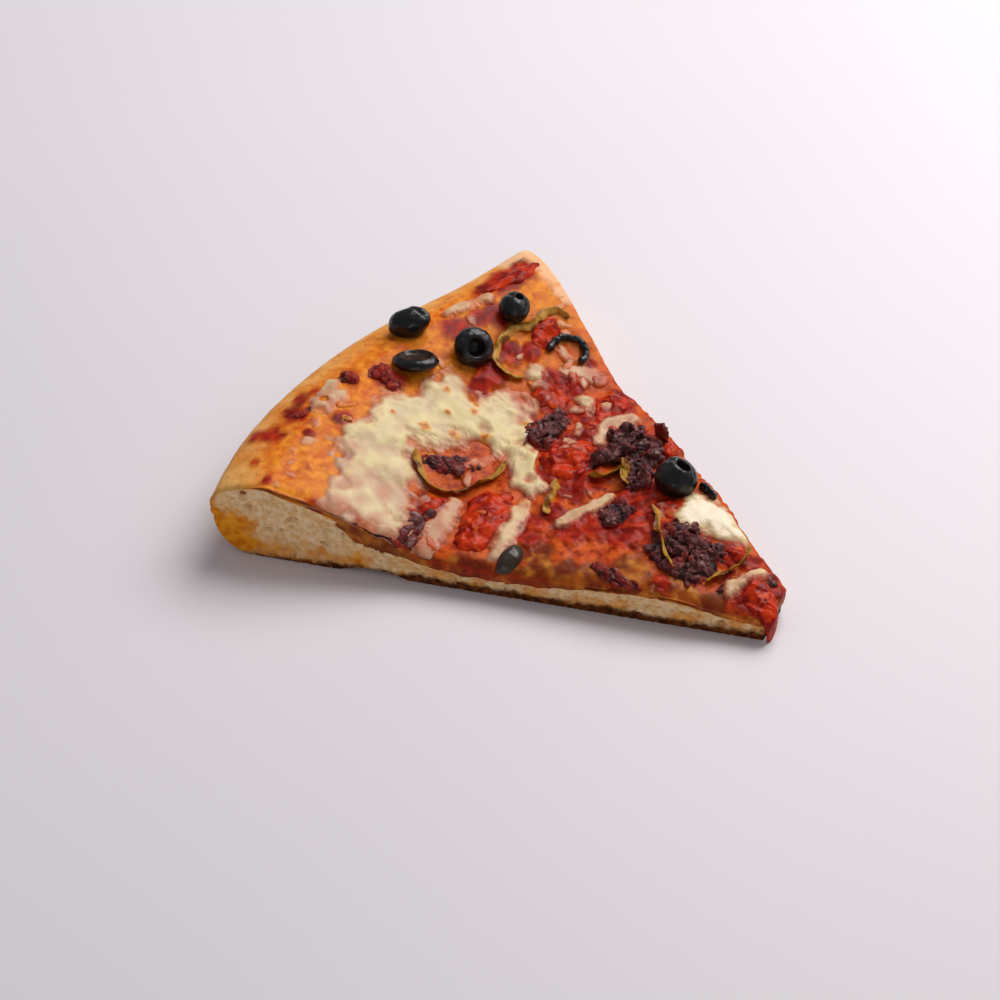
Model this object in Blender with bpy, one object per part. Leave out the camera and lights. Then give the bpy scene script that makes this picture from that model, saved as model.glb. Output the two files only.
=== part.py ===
"""A cut slice of thick-crust pizza: dough, sauce, cheese, cured meat, tomato, green pepper and black olives.

Sizes are in millimetres until the meshes are made. A place on the slice is (across, along): along is measured
from the middle of the whole round pizza towards the crust, and across is positive on the back cut and negative
on the front cut. The front cut is the side that shows the crumb.
"""
import math

import bpy
import numpy as np
from mathutils import Vector, noise
from mathutils.bvhtree import BVHTree

MM = 0.001

# Driving dimensions: the front cut points at the middle of the round pizza, and the back cut passes beside it
FRONT_ANGLE = math.radians(23.9)
BACK_ANGLE = math.radians(25.15)
BACK_SHIFT = 2.3
CRUST_RADIUS = 186.5
POINT_CUT = 16.0
POINT_SLANT = 2.2
POINT_ROUNDING = 1.2
FOREMOST = 13.9
FARTHEST = 183.9

# The crust is less round than a circle: how far it is pulled in, by the share of the way from front to back cut
CRUST_PULLS = ((-1, 0.0), (-0.6, 0.0), (-0.3, 1.4), (0.1, 3.6), (0.4, 5.4), (0.62, 5.8), (0.82, 3.6), (1.0, 0.0))
PULL_START = 145.0
PULL_END = 176.0

# Dough: height of its bed from the blunt point to the crest of the rim, and the two arcs of the rim's side
BED_HEIGHTS = (
    (16, 6.2), (32, 8.8), (50, 11.0), (75, 9.8), (105, 9.2), (124, 11.2), (140, 17.6), (153, 23.2), (168, 26.6),
)
CREST_RADIUS = 168.0
CREST_HEIGHT = 26.6
SIDE_HEIGHT = 18.0
FOOT_RADIUS = 173.0
WALL_RADIUS = 184.4
BED_UNEVENNESS = 0.45
BED_WAVE = 17.0
CRUMB_RELIEF = 0.45
CRUMB_SIZE = 5.0
ARCH_RISE = 2.4
ARCH_MIDDLE = 136.0
ARCH_HALF_LENGTH = 11.0
ARCH_SHARE = 0.8
DOUGH_ACROSS = 12
DOUGH_LAYERS = 4
SLOPE_START = 112.0
BED_ROWS = 14
SLOPE_ROWS = 12
RIM_ROWS = (177.0, 180.3, 182.7)

# Sauce: a skin over the bed and the rim, out to a wavy edge
SAUCE_THICKNESS = 1.3
SAUCE_LUMPS = 0.6
SAUCE_LUMP_SIZE = 8.0
SAUCE_EDGE = 0.6
SAUCE_THINS_FROM = 163.0
SAUCE_RADIUS = 173.5
SAUCE_WAVE = 1.4
SAUCE_WAVES_IN_TURN = 27.0

# Soft pieces: their thickness at the edge, and the size and strength of their bumps
EDGE_THICKNESS = 0.7
BUMP_SIZE = 4.5
PATCH_BUMPS = 0.25
STRIP_BUMPS = 0.15
MEAT_BUMPS = 0.6
LARGE_MEAT_HEIGHT = 4.0
STRIP_END_SHARE = 0.04

# Pieces that touch keep this gap
GAP = 0.3
BED_GAP = 0.35
CELL = 0.5
MAP_LOW = (-95.0, 5.0)
MAP_CELLS = (380, 380)

# Meat that lies lowest, partly under the cheese: outline or middle line, then height
LOW_MEAT = {
    "meat_in_curl": (((-20, 134), (-15, 129), (-9, 126), (-5, 121), (-10, 119.5), (-16, 123)), 2.6),
    "meat_front": (((-51, 117), (-45, 120.5), (-40, 123), (-33, 121), (-31, 119), (-38, 115), (-46, 112.5)), 3.0),
}
LOW_MEAT_STRIPS = {
    "meat_under_cheese": (((-57.5, 134), (-54.5, 128), (-52, 122), (-49.5, 117.5)), (1.2, 2.0, 2.0, 1.2), 2.2),
    "meat_point_edge": (((-9, 32), (-2, 30), (3, 25.5), (5.6, 21.8)), (1.0, 1.6, 1.6, 1.0), 1.8),
}

# Tomato: outlines and heights
TOMATOES = {
    "tomato_crust": (((46, 160.5), (55, 162), (63, 160.5), (68, 156.5), (65, 153), (58, 153), (50, 156.5)), 2.4),
    "tomato_front": (
        ((-21, 114), (-14, 110), (-12, 105), (-18, 99), (-27, 97.5), (-36, 97.5), (-40, 102), (-36, 108)), 4.0,
    ),
    "tomato_front_bit": (((-37, 119), (-31, 122.5), (-25, 119.5), (-29, 116)), 2.4),
    "tomato_middle": (((3, 105), (11, 109), (19, 108), (23, 103), (19, 97.5), (9, 93.5), (3, 96)), 3.6),
    "tomato_back": (((41, 114), (45, 107), (43, 99.5), (36, 99.5), (29, 102), (25, 106.5), (34, 108)), 2.6),
    "tomato_curl": (((40, 137), (44, 139.5), (50, 139), (53.5, 135.5), (49, 133.5), (43, 133.5)), 2.0),
    "tomato_upper": (((25, 127.5), (33, 126), (38, 122), (35, 118.5), (29, 118.5), (25, 122)), 2.0),
    "tomato_small": (((12, 65.5), (15, 59.5), (11, 56.5), (6.5, 60.5)), 2.2),
    "tomato_point": (((2, 34.5), (5, 39), (10, 38), (11, 34.5), (6, 32.5)), 2.4),
}
TOMATO_STRIPS = {
    "tomato_back_edge": (((35.5, 88), (33.5, 82), (31.5, 76)), (1.2, 1.7, 1.2), 2.4),
}
# The tomato that drapes over the point: its rows on top by across, along and half width, its rows down the front
# by drop, across and half width, and the way out and share of the thickness at each of these rows
DRAPE_TOP = ((-1.8, 26, 3.0), (-2.0, 21, 3.8), (-2.4, 16.5, 4.2))
DRAPE_FRONT = ((0.0, -2.6, 4.6), (-3.5, -4.0, 3.2), (-6.8, -5.2, 1.4))
DRAPE_OUTWARD = ((0, 0, 1), (0, 0, 1), (0, -0.2, 1), (0, -1, 0.6), (0, -1, 0), (0, -1, 0))
DRAPE_SHARES = (0.5, 1.0, 1.0, 1.0, 1.0, 0.6)
DRAPE_THICKNESS = 1.7
DRAPE_THINNING = 0.4
DRAPE_COLUMNS = 4

# Cheese: patches by outline, and strips by middle line and half widths
CHEESES = {
    "cheese_left": (
        ((-29, 170.5), (-22, 172.5), (-14, 169.5), (-15, 163), (-19, 158.5), (-29, 158.5), (-36, 163)), 1.7,
    ),
    "cheese_back_a": (((30, 137), (35, 133), (38, 129), (33, 126.5), (28, 129), (27, 133.5)), 2.2),
    "cheese_back_c": (((36, 117), (40.5, 115.5), (39, 111), (34, 107.5), (31, 109.5), (33, 114)), 1.8),
    "cheese_point_patch": (
        ((25.5, 61.5), (20, 60.5), (13, 56), (9.5, 49), (8.5, 41), (12, 37), (16.5, 41), (20.8, 50)), 2.4,
    ),
}
CHEESE_STRIPS = {
    "cheese_rim": (((26.5, 162), (36, 160.5), (46, 155.5)), (1.6, 2.4, 1.6), 1.9),
    "cheese_back_b": (((39, 127), (43, 122.5), (46, 117.5), (47.5, 112.5)), (2.0, 3.2, 3.2, 1.8), 1.9),
    "cheese_edge": (((22.5, 97), (29, 97.5), (35.5, 95.5), (40.5, 93.5)), (2.0, 3.2, 3.2, 1.8), 2.0),
    "cheese_middle": (((-15, 86.5), (-8, 84), (0, 82.5), (7, 79.5)), (1.6, 2.3, 2.3, 1.5), 2.4),
    "cheese_point_strip": (((-9.5, 29), (-3, 28), (3.0, 26.8), (7.2, 24.3)), (1.6, 2.6, 2.6, 1.5), 2.4),
    "cheese_front_a": (((-24, 118), (-32, 113.8), (-40, 110.8), (-47, 109.8)), (1.8, 2.8, 2.6, 1.5), 2.0),
    "cheese_front_b": (((-10, 100.5), (-15, 97), (-25, 94.8), (-37, 93.2)), (2.0, 2.8, 2.8, 1.6), 2.2),
}
MAIN_CHEESE_LINE = (
    (-4, 101), (3, 108), (8, 117), (9, 127), (4, 138), (-8, 144), (-22, 146), (-37, 142), (-47, 133), (-49.5, 123),
)
MAIN_CHEESE_HALF_WIDTHS = (4.5, 8.0, 11.0, 14.0, 13.0, 11.5, 11.5, 13.0, 11.0, 4.0)
MAIN_CHEESE_HEIGHT = 3.2

# Cured meat on top: outline or middle line, then height
MEATS = {
    "meat_large": (
        ((29, 93), (33, 88), (32.5, 81), (29, 77), (23, 76), (16, 75.5), (13, 81), (16, 88), (23, 92)), 6.4,
    ),
    "meat_middle": (((12, 119), (20, 119.5), (27, 115), (27, 110.5), (19, 109), (12, 112)), 3.6),
    "meat_small": (((-5, 77.5), (2, 78), (5, 73.5), (0, 70.5), (-6, 71.5)), 3.4),
    "meat_point": (((-5, 60), (0, 56), (4, 46), (2, 39), (-4, 36), (-10, 38.5), (-15, 46), (-12, 55)), 5.0),
    "meat_crust_a": (((-53, 169.5), (-48, 172), (-43.5, 169.5), (-48, 167)), 1.8),
    "meat_crust_b": (((-39, 168), (-35, 170), (-31.5, 167.5), (-34.5, 165)), 1.8),
    "meat_crust_c": (((-14.5, 167.5), (-11, 166), (-12.5, 162.5), (-16, 164)), 1.9),
    "meat_crust_d": (((-9, 163.5), (-3.5, 164.5), (-2.5, 160), (-5, 156.5), (-9, 158.5)), 2.2),
}
MEAT_STRIPS = {
    "meat_front_slope": (((-20, 67), (-21.5, 62), (-21, 56), (-19.5, 50.5)), (1.2, 1.9, 1.9, 1.1), 2.4),
    "meat_curl": (((37, 86.5), (36.2, 83.5), (34.5, 80.5)), (0.8, 1.0, 0.8), 6.0),
}

# Green pepper: middle line, half width and how many places along it
PEPPERS = {
    "pepper_curl_back": (
        (
            (56.5, 134), (56, 138), (52, 140.5), (45, 140.5), (41.5, 143.5), (36, 144), (30, 143), (26.5, 140.5),
            (25.5, 137), (26.5, 133.5), (29, 131),
        ),
        1.0,
        24,
    ),
    "pepper_curl_middle": (
        ((-19.5, 136), (-24, 131), (-26, 125.5), (-22.5, 119.5), (-16.5, 116.2), (-9, 114.7), (-1.5, 115.2)),
        1.5,
        20,
    ),
    "pepper_strip_large": (((9, 91.5), (12, 87.5), (17, 86.5), (19, 84.5), (14, 82), (11.5, 79)), 0.9, 14),
    "pepper_strip_middle": (((1.5, 98), (-3, 96), (-8, 94.5), (-12.5, 92)), 0.9, 10),
    "pepper_strip_point": (((8, 67), (5, 63), (0, 60), (-4, 55.5), (-8, 51), (-11, 46.5)), 0.7, 14),
    "pepper_point": (((-8, 37), (-3, 35.5), (3, 33), (8, 33), (12, 35.5)), 0.7, 13),
}
PEPPER_HEIGHT = 1.7

# Olives: place, height of the middle above what is below, axis, half width, half length, hole radius, hole depth
TOWARDS_CAMERA_SIDE = (-0.42, -0.68, 0.60)
OLIVES = {
    "olive_crust": ((16, 166.5), 3.6, (0.55, -0.72, 0.30), 5.0, 6.8, 0.0, 0.0),
    "olive_ring": ((22.5, 146.5), 3.4, TOWARDS_CAMERA_SIDE, 6.7, 5.0, 3.4, 6.0),
    "olive_cap": ((44.5, 147), 2.6, (0.25, -0.25, 0.93), 5.2, 5.0, 1.6, 3.5),
    "olive_slice": ((5.5, 156), 1.6, (0.27, 0.21, 0.94), 7.4, 3.0, 3.0, 3.0),
    "olive_point": ((21, 67.5), 4.4, (0.25, -0.30, 0.92), 6.8, 6.4, 2.4, 5.0),
}
OLIVE_ARC = {
    "olive_arc": (((44, 132), (48, 132.5), (51.5, 130.5), (53.5, 127), (52.5, 124), (49, 122.8)), 1.1, 14, 2.6),
    "olive_sliver": (((25.8, 62.5), (24.6, 58.5), (23, 54.5)), 1.1, 7, 3.2),
}
OLIVE_CHUNK = {
    "olive_front": (((-38, 89), (-32.5, 90.5), (-27, 89), (-26, 86), (-31, 84.8), (-36.5, 86)), 3.8),
}

COLOURS = {
    "dough": ((0.80, 0.60, 0.33, 1), 0.80),
    "sauce": ((0.72, 0.22, 0.05, 1), 0.35),
    "cheese": ((0.86, 0.78, 0.60, 1), 0.35),
    "tomato": ((0.60, 0.06, 0.03, 1), 0.25),
    "meat": ((0.16, 0.04, 0.04, 1), 0.50),
    "pepper": ((0.45, 0.42, 0.10, 1), 0.35),
    "olive": ((0.02, 0.02, 0.025, 1), 0.20),
}


def smooth_step(low, high, value):
    """Rises from 0 at low to 1 at high, level at both ends."""
    share = np.clip((value - low) / (high - low), 0.0, 1.0)
    return share * share * (3.0 - 2.0 * share)


def lumps(x, y, size, layer):
    """Soft bumps from -1 to 1, each about size mm across; each layer number gives another set."""
    places = zip(np.ravel(x) / size, np.ravel(y) / size)
    values = [noise.noise(Vector((a, b, layer))) for a, b in places]
    return np.reshape(values, np.shape(x))


def through(points, value):
    """A smooth curve through (place, height) points, read at value."""
    places, heights = np.array(points, dtype=float).T
    slopes = np.gradient(heights, places)
    value = np.clip(value, places[0], places[-1])
    cell = np.clip(np.searchsorted(places, value) - 1, 0, len(places) - 2)
    span = places[cell + 1] - places[cell]
    t = (value - places[cell]) / span
    start = heights[cell] * (1 + 2 * t) * (1 - t) ** 2 + slopes[cell] * span * t * (1 - t) ** 2
    end = heights[cell + 1] * t ** 2 * (3 - 2 * t) - slopes[cell + 1] * span * t ** 2 * (1 - t)
    return start + end


def curve_through(points, count, closed=False):
    """Points spread evenly along a smooth curve through the given ones."""
    points = np.array(points, dtype=float)
    if closed:
        padded = np.vstack([points[-1:], points, points[:2]])
    else:
        padded = np.vstack([2 * points[0] - points[1], points, 2 * points[-1] - points[-2]])
    fine = []
    for before, start, end, after in zip(padded, padded[1:], padded[2:], padded[3:]):
        t = np.linspace(0, 1, 16, endpoint=False)[:, None]
        fine.append(0.5 * (
            2 * start + (end - before) * t
            + (2 * before - 5 * start + 4 * end - after) * t ** 2
            + (3 * start - before - 3 * end + after) * t ** 3
        ))
    fine = np.vstack(fine + [padded[-2:-1]])
    travelled = np.append(0.0, np.cumsum(np.linalg.norm(np.diff(fine, axis=0), axis=1)))
    wanted = np.linspace(0, travelled[-1], count, endpoint=not closed)
    return np.column_stack([np.interp(wanted, travelled, fine[:, axis]) for axis in range(points.shape[1])])


def back_angle(radius):
    """Angle of the back cut, seen from the middle of the round pizza, at each radius."""
    return BACK_ANGLE - np.arcsin(BACK_SHIFT / radius)


def share_across(x, y):
    """Share of the way from the front cut, at -1, to the back cut, at 1."""
    angle = np.arctan2(x, y) + FRONT_ANGLE
    return np.clip(2 * angle / (FRONT_ANGLE + back_angle(np.hypot(x, y))) - 1, -1, 1)


def full_radius(radius, share):
    """The radius that a place would have if the crust were a full circle, found by going back over the pull."""
    pull = through(CRUST_PULLS, share)
    full = radius
    for _ in range(8):
        full = radius + pull * smooth_step(PULL_START, PULL_END, full)
    return full


def dough_top(x, y):
    """Height of the dough's upper side: the bed's curve, then an arc over the rim."""
    radius = full_radius(np.hypot(x, y), share_across(x, y))
    over = np.clip((radius - CREST_RADIUS) / (CRUST_RADIUS - CREST_RADIUS), 0, 1)
    arc = SIDE_HEIGHT + (CREST_HEIGHT - SIDE_HEIGHT) * np.sqrt(1 - over ** 2)
    height = np.where(radius > CREST_RADIUS, arc, through(BED_HEIGHTS, radius))
    return height + BED_UNEVENNESS * lumps(x, y, BED_WAVE, 3.0)


def dough_bottom(radius, share):
    """Height of the underside: flat, with a low arch at the front cut, rising in an arc under the rim."""
    radius = full_radius(radius, share)
    over = np.clip((radius - FOOT_RADIUS) / (CRUST_RADIUS - FOOT_RADIUS), 0, 1)
    arc = SIDE_HEIGHT * (1 - np.sqrt(1 - over ** 2))
    along = np.clip(1 - ((radius - ARCH_MIDDLE) / ARCH_HALF_LENGTH) ** 2, 0, 1)
    return arc + ARCH_RISE * along * smooth_step(ARCH_SHARE, 1.0, -share)


def slice_rows():
    """Shares of the way from the point to the rim's wall: close together where the dough bends."""
    bed = np.linspace(POINT_CUT, SLOPE_START, BED_ROWS, endpoint=False)
    slope = np.linspace(SLOPE_START, SAUCE_RADIUS, SLOPE_ROWS)
    radii = np.concatenate([bed, slope, RIM_ROWS, (WALL_RADIUS,)])
    return (radii - POINT_CUT) / (WALL_RADIUS - POINT_CUT)


def slice_plan():
    """Radius, across, along and share of the slice's grid, rows from point to crust, columns from front to back."""
    share = np.linspace(-1, 1, DOUGH_ACROSS + 1)[None, :]
    rows = slice_rows()[:, None]
    start = POINT_CUT / math.cos(FRONT_ANGLE) + POINT_SLANT * ((share + 1) / 2) ** 2
    start = start - POINT_ROUNDING * (1 - share ** 2)
    end = WALL_RADIUS - through(CRUST_PULLS, share)
    at_edge = rows == rows[BED_ROWS + SLOPE_ROWS - 1]
    wave = SAUCE_WAVE * np.sin(SAUCE_WAVES_IN_TURN * share * FRONT_ANGLE + 1.0)
    radius = start + rows * (end - start) + at_edge * wave
    angle = -FRONT_ANGLE + (share + 1) / 2 * (FRONT_ANGLE + back_angle(radius))
    return radius, radius * np.sin(angle), radius * np.cos(angle), np.broadcast_to(share, radius.shape)


def box_shell(lattice):
    """The closed skin of a block of points, as triangles facing outwards, with the points inside dropped."""
    number = np.arange(lattice[..., 0].size).reshape(lattice.shape[:3])
    sheets = (
        number[:, :, -1], number[:, ::-1, 0], number[0].T, number[-1][::-1].T, number[:, 0, :], number[:, -1, ::-1],
    )
    triangles = np.vstack([sheet_triangles(sheet) for sheet in sheets])
    used, renumbered = np.unique(triangles, return_inverse=True)
    return lattice.reshape(-1, 3)[used], renumbered.reshape(-1, 3)


def sheet_triangles(sheet):
    """Two triangles for each cell of a grid of point numbers."""
    a, b = sheet[:-1, :-1].ravel(), sheet[:-1, 1:].ravel()
    c, d = sheet[1:, 1:].ravel(), sheet[1:, :-1].ravel()
    return np.vstack([np.column_stack([a, b, c]), np.column_stack([a, c, d])])


def dough_lattice():
    """The dough as a block of points: rows, columns and layers from underside to top."""
    radius, x, y, share = slice_plan()
    top = dough_top(x, y)
    bottom = dough_bottom(radius, share)
    layers = np.linspace(0, 1, DOUGH_LAYERS + 1)
    height = bottom[..., None] + (top - bottom)[..., None] * layers
    lattice = np.stack([np.repeat(x[..., None], len(layers), 2), np.repeat(y[..., None], len(layers), 2), height], -1)
    bulge_crust_wall(lattice, share[-1])
    roughen_cuts(lattice)
    return lattice


def bulge_crust_wall(lattice, share):
    """Moves the crust's outer wall out to the two arcs that join its top and its foot."""
    wall = lattice[-1, :, 1:-1]
    above = np.clip((wall[..., 2] - SIDE_HEIGHT) / (CREST_HEIGHT - SIDE_HEIGHT), 0, 1)
    below = np.clip((SIDE_HEIGHT - wall[..., 2]) / SIDE_HEIGHT, 0, 1)
    upper = CREST_RADIUS + (CRUST_RADIUS - CREST_RADIUS) * np.sqrt(1 - above ** 2)
    lower = FOOT_RADIUS + (CRUST_RADIUS - FOOT_RADIUS) * np.sqrt(1 - below ** 2)
    reach = np.where(wall[..., 2] > SIDE_HEIGHT, upper, lower) - through(CRUST_PULLS, share)[:, None]
    lattice[-1, :, 1:-1, :2] *= (reach / np.hypot(wall[..., 0], wall[..., 1]))[..., None]


def roughen_cuts(lattice):
    """Pushes the points of both cut faces in and out, as torn crumb is."""
    for column, side, angle in ((0, -1.0, FRONT_ANGLE), (-1, 1.0, BACK_ANGLE)):
        face = lattice[:, column]
        relief = CRUMB_RELIEF * lumps(face[..., 1], face[..., 2] * 1.6, CRUMB_SIZE, 7.0 + side)
        face[..., 0] += side * relief * math.cos(angle)
        face[..., 1] -= relief * math.sin(angle)


def sauce_lattice():
    """The sauce as two layers of points on the dough's own grid, as far as the row of its wavy edge."""
    radius, x, y, _ = (values[:BED_ROWS + SLOPE_ROWS] for values in slice_plan())
    low = dough_top(x, y) + BED_GAP
    thickness = SAUCE_THICKNESS + SAUCE_LUMPS * lumps(x, y, SAUCE_LUMP_SIZE, 11.0)
    thickness = SAUCE_EDGE + (thickness - SAUCE_EDGE) * (1 - smooth_step(SAUCE_THINS_FROM, SAUCE_RADIUS, radius))
    height = np.stack([low, low + thickness], -1)
    return np.stack([np.repeat(x[..., None], 2, 2), np.repeat(y[..., None], 2, 2), height], -1)


class Ground:
    """The height of everything laid so far, on a fine square map."""

    def __init__(self):
        self.height = np.full(MAP_CELLS, -np.inf)
        self.widened = self.height

    def add(self, points, triangles):
        """Raises the map to a new solid's upper side."""
        tree = BVHTree.FromPolygons(points.tolist(), triangles.tolist())
        low = np.floor((points[:, :2].min(axis=0) - MAP_LOW) / CELL).astype(int)
        high = np.ceil((points[:, :2].max(axis=0) - MAP_LOW) / CELL).astype(int)
        for column in range(low[0], high[0] + 1):
            for row in range(low[1], high[1] + 1):
                start = Vector((MAP_LOW[0] + column * CELL, MAP_LOW[1] + row * CELL, 99.0))
                hit = tree.ray_cast(start, Vector((0, 0, -1)))[0]
                if hit is not None:
                    self.height[column, row] = max(self.height[column, row], hit.z)
        self.widened = widen(self.height)
        for _ in range(6):
            self.widened = np.where(np.isinf(self.widened), widen(self.widened), self.widened)

    def under(self, places):
        """The highest thing at or right beside each place."""
        cell = np.rint((np.asarray(places) - MAP_LOW) / CELL).astype(int)
        return self.widened[cell[..., 0], cell[..., 1]]


def widen(height):
    """Each cell takes the highest value of itself and its neighbours."""
    wide = height.copy()
    for shift in ((1, 0), (-1, 0), (0, 1), (0, -1)):
        wide = np.maximum(wide, np.roll(height, shift, axis=(0, 1)))
    return wide


def corner_mixes(parts=4):
    """Weights that spread sample points evenly over a triangle."""
    return np.array([
        (a / parts, b / parts, (parts - a - b) / parts) for a in range(parts + 1) for b in range(parts + 1 - a)
    ])


def shortfall(ground, points, triangles):
    """How far each point has to rise for its triangles to clear what is below."""
    samples = np.einsum("mc,tcx->tmx", corner_mixes(), points[triangles])
    short = np.clip(ground.under(samples[..., :2]) + GAP - samples[..., 2], 0, None).max(axis=1)
    rise = np.zeros(len(points))
    for corner in range(3):
        np.maximum.at(rise, triangles[:, corner], short)
    return rise


def slab(low, high, triangles, rim):
    """A closed solid between two like sheets, whose triangles face up, joined along the rim."""
    count = len(low)
    following = np.roll(rim, -1)
    sides = np.vstack([
        np.column_stack([rim, following, following + count]), np.column_stack([rim, following + count, rim + count]),
    ])
    return np.vstack([low, high]), np.vstack([triangles[:, ::-1], triangles + count, sides])


def lay(ground, plan, triangles, rim, thickness):
    """A soft piece on whatever lies below: its underside follows that, and its top is above it by its thickness."""
    low = np.column_stack([plan, ground.under(plan) + GAP])
    for _ in range(4):
        low[:, 2] += shortfall(ground, low, triangles)
    high = low + np.column_stack([np.zeros((len(plan), 2)), thickness])
    solid = slab(low, high, triangles, rim)
    ground.add(*solid)
    return solid


def lay_patch(ground, outline, height, spokes=12, rings=2, bumpiness=PATCH_BUMPS):
    """A lump inside a closed outline, highest in the middle."""
    rim = curve_through(outline, spokes, closed=True)
    turn = np.cross(rim, np.roll(rim, -1, axis=0)).sum()
    rim = rim if turn > 0 else rim[::-1]
    centre = rim.mean(axis=0)
    shares = np.linspace(1, 0, rings + 1)[:-1]
    plan = np.vstack([centre + share * (rim - centre) for share in shares] + [centre])
    ring_numbers = np.arange(rings * spokes).reshape(rings, spokes)
    wrapped = np.hstack([ring_numbers, ring_numbers[:, :1]])
    inner = ring_numbers[-1]
    fan = np.column_stack([inner, np.roll(inner, -1), np.full(spokes, rings * spokes)])
    triangles = np.vstack([sheet_triangles(wrapped), fan])
    share = np.append(np.repeat(shares, spokes), 0)
    bumps = 1 + bumpiness * lumps(plan[:, 0], plan[:, 1], BUMP_SIZE, height)
    thickness = EDGE_THICKNESS + (height - EDGE_THICKNESS) * (1 - share ** 2) * bumps
    return lay(ground, plan, triangles, ring_numbers[0], thickness)


def lay_strip(ground, line, half_widths, height, count=9, across=2):
    """A lump along a middle line, highest along it and thin at its sides and ends."""
    ends = np.linspace(0, 1, len(half_widths))
    line = curve_through(line, count)
    half_width = np.interp(np.linspace(0, 1, count), ends, half_widths)
    along = np.gradient(line, axis=0)
    along /= np.linalg.norm(along, axis=1)[:, None]
    side = np.column_stack([along[:, 1], -along[:, 0]])
    shares = np.linspace(-1, 1, across + 1)
    plan = (line[:, None] + (side * half_width[:, None])[:, None] * shares[None, :, None]).reshape(-1, 2)
    numbers = np.arange(len(plan)).reshape(count, across + 1)
    rim = np.concatenate([numbers[0], numbers[1:, -1], numbers[-1, -2::-1], numbers[-2:0:-1, 0]])
    ends_taper = np.sqrt(np.sin(np.pi * np.linspace(STRIP_END_SHARE, 1 - STRIP_END_SHARE, count)))
    crown = (1 - shares[None, :] ** 2) * ends_taper[:, None]
    bumps = 1 + STRIP_BUMPS * lumps(plan[:, 0], plan[:, 1], BUMP_SIZE, height)
    thickness = EDGE_THICKNESS + (height - EDGE_THICKNESS) * crown.ravel() * bumps
    return lay(ground, plan, sheet_triangles(numbers), rim, thickness)


def lay_drape(ground):
    """Tomato over the point: it lies on the sauce and hangs down the cut face."""
    across = np.linspace(-1, 1, DRAPE_COLUMNS)
    top = np.array([
        [(centre + share * half_width, along, 0) for share in across] for centre, along, half_width in DRAPE_TOP
    ])
    top[..., 2] = ground.under(top[..., :2]) + GAP
    top_triangles = sheet_triangles(np.arange(top[..., 0].size).reshape(top.shape[:2]))
    top[..., 2] += shortfall(ground, top.reshape(-1, 3), top_triangles).reshape(top.shape[:2])
    brink = top[-1, :, 2].max()
    face = POINT_CUT - GAP
    front = [
        [(centre + share * half_width, face, brink + drop) for share in across]
        for drop, centre, half_width in DRAPE_FRONT
    ]
    inner = np.concatenate([top, front])
    outward = np.array(DRAPE_OUTWARD) * (DRAPE_THICKNESS * np.array(DRAPE_SHARES))[:, None]
    outer = inner + outward[:, None, :] * (1 - DRAPE_THINNING * across ** 2)[None, :, None]
    numbers = np.arange(inner[..., 0].size).reshape(inner.shape[:2])
    rim = np.concatenate([numbers[0, ::-1], numbers[1:, 0], numbers[-1, 1:], numbers[-2:0:-1, -1]])
    triangles = sheet_triangles(numbers[:, ::-1])
    solid = slab(inner.reshape(-1, 3), outer.reshape(-1, 3), triangles, rim)
    ground.add(*solid)
    return solid


def olive_profile(half_width, half_length, hole, depth):
    """(radius, height) from the closed end round the outside to the stone's hole, and down to its floor."""
    turn = np.linspace(-0.5 * math.pi, 0.5 * math.pi, 9)
    if hole:
        mouth = math.acos(min(1.0, hole / half_width))
        turn = np.linspace(-0.5 * math.pi, mouth, 8)
    outside = np.column_stack([half_width * np.cos(turn), half_length * np.sin(turn)])
    if not hole:
        return outside
    top = outside[-1, 1]
    inside = [(0.8 * hole, top - 0.7), (0.7 * hole, top - 0.7 * depth), (0.0, top - depth)]
    return np.vstack([outside, inside])


def turned_solid(profile, spokes):
    """A profile turned about the Z axis, its two ends closed to points."""
    angle = np.linspace(0, 2 * math.pi, spokes, endpoint=False)
    rings = profile[1:-1]
    points = np.stack([
        rings[:, :1] * np.cos(angle), rings[:, :1] * np.sin(angle), np.repeat(rings[:, 1:], spokes, 1),
    ], -1).reshape(-1, 3)
    numbers = np.arange(len(points)).reshape(len(rings), spokes)
    wrapped = np.hstack([numbers, numbers[:, :1]])
    first, last = len(points), len(points) + 1
    points = np.vstack([points, (0, 0, profile[0, 1]), (0, 0, profile[-1, 1])])
    fan_first = np.column_stack([np.roll(numbers[0], -1), numbers[0], np.full(spokes, first)])
    fan_last = np.column_stack([numbers[-1], np.roll(numbers[-1], -1), np.full(spokes, last)])
    return points, np.vstack([sheet_triangles(wrapped), fan_first, fan_last])


def lay_olive(ground, place, lift, axis, half_width, half_length, hole, depth):
    """A pitted olive or a thick slice of one, its stone's hole along the axis, settled on what is below."""
    points, triangles = turned_solid(olive_profile(half_width, half_length, hole, depth), 14)
    dents = lumps(points[:, 0] + place[0], points[:, 1] + points[:, 2], 5.0, half_width)
    points = points * (1 + 0.06 * dents)[:, None]
    turn = Vector((0, 0, 1)).rotation_difference(Vector(axis)).to_matrix()
    points = points @ np.array(turn).T
    points += (place[0], place[1], ground.under(np.array(place)) + lift)
    for _ in range(6):
        corners = points[triangles]
        upward = np.cross(corners[:, 1] - corners[:, 0], corners[:, 2] - corners[:, 0])[:, 2] > 0
        points[:, 2] += shortfall(ground, points, triangles[~upward])
        floor = np.full(len(points), -np.inf)
        floor[triangles[upward].ravel()] = 0
        crown = ground.under(points[:, :2]) + GAP + 1.0 + floor
        points[:, 2] = np.maximum(points[:, 2], crown)
    ground.add(points, triangles)
    return points, triangles


def make_material(kind):
    """A plain surface in the piece's own colour."""
    colour, roughness = COLOURS[kind]
    material = bpy.data.materials.new(kind)
    material.use_nodes = True
    shader = material.node_tree.nodes["Principled BSDF"]
    shader.inputs["Base Color"].default_value = colour
    shader.inputs["Roughness"].default_value = roughness
    shader.inputs["Metallic"].default_value = 0.0
    return material


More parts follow.
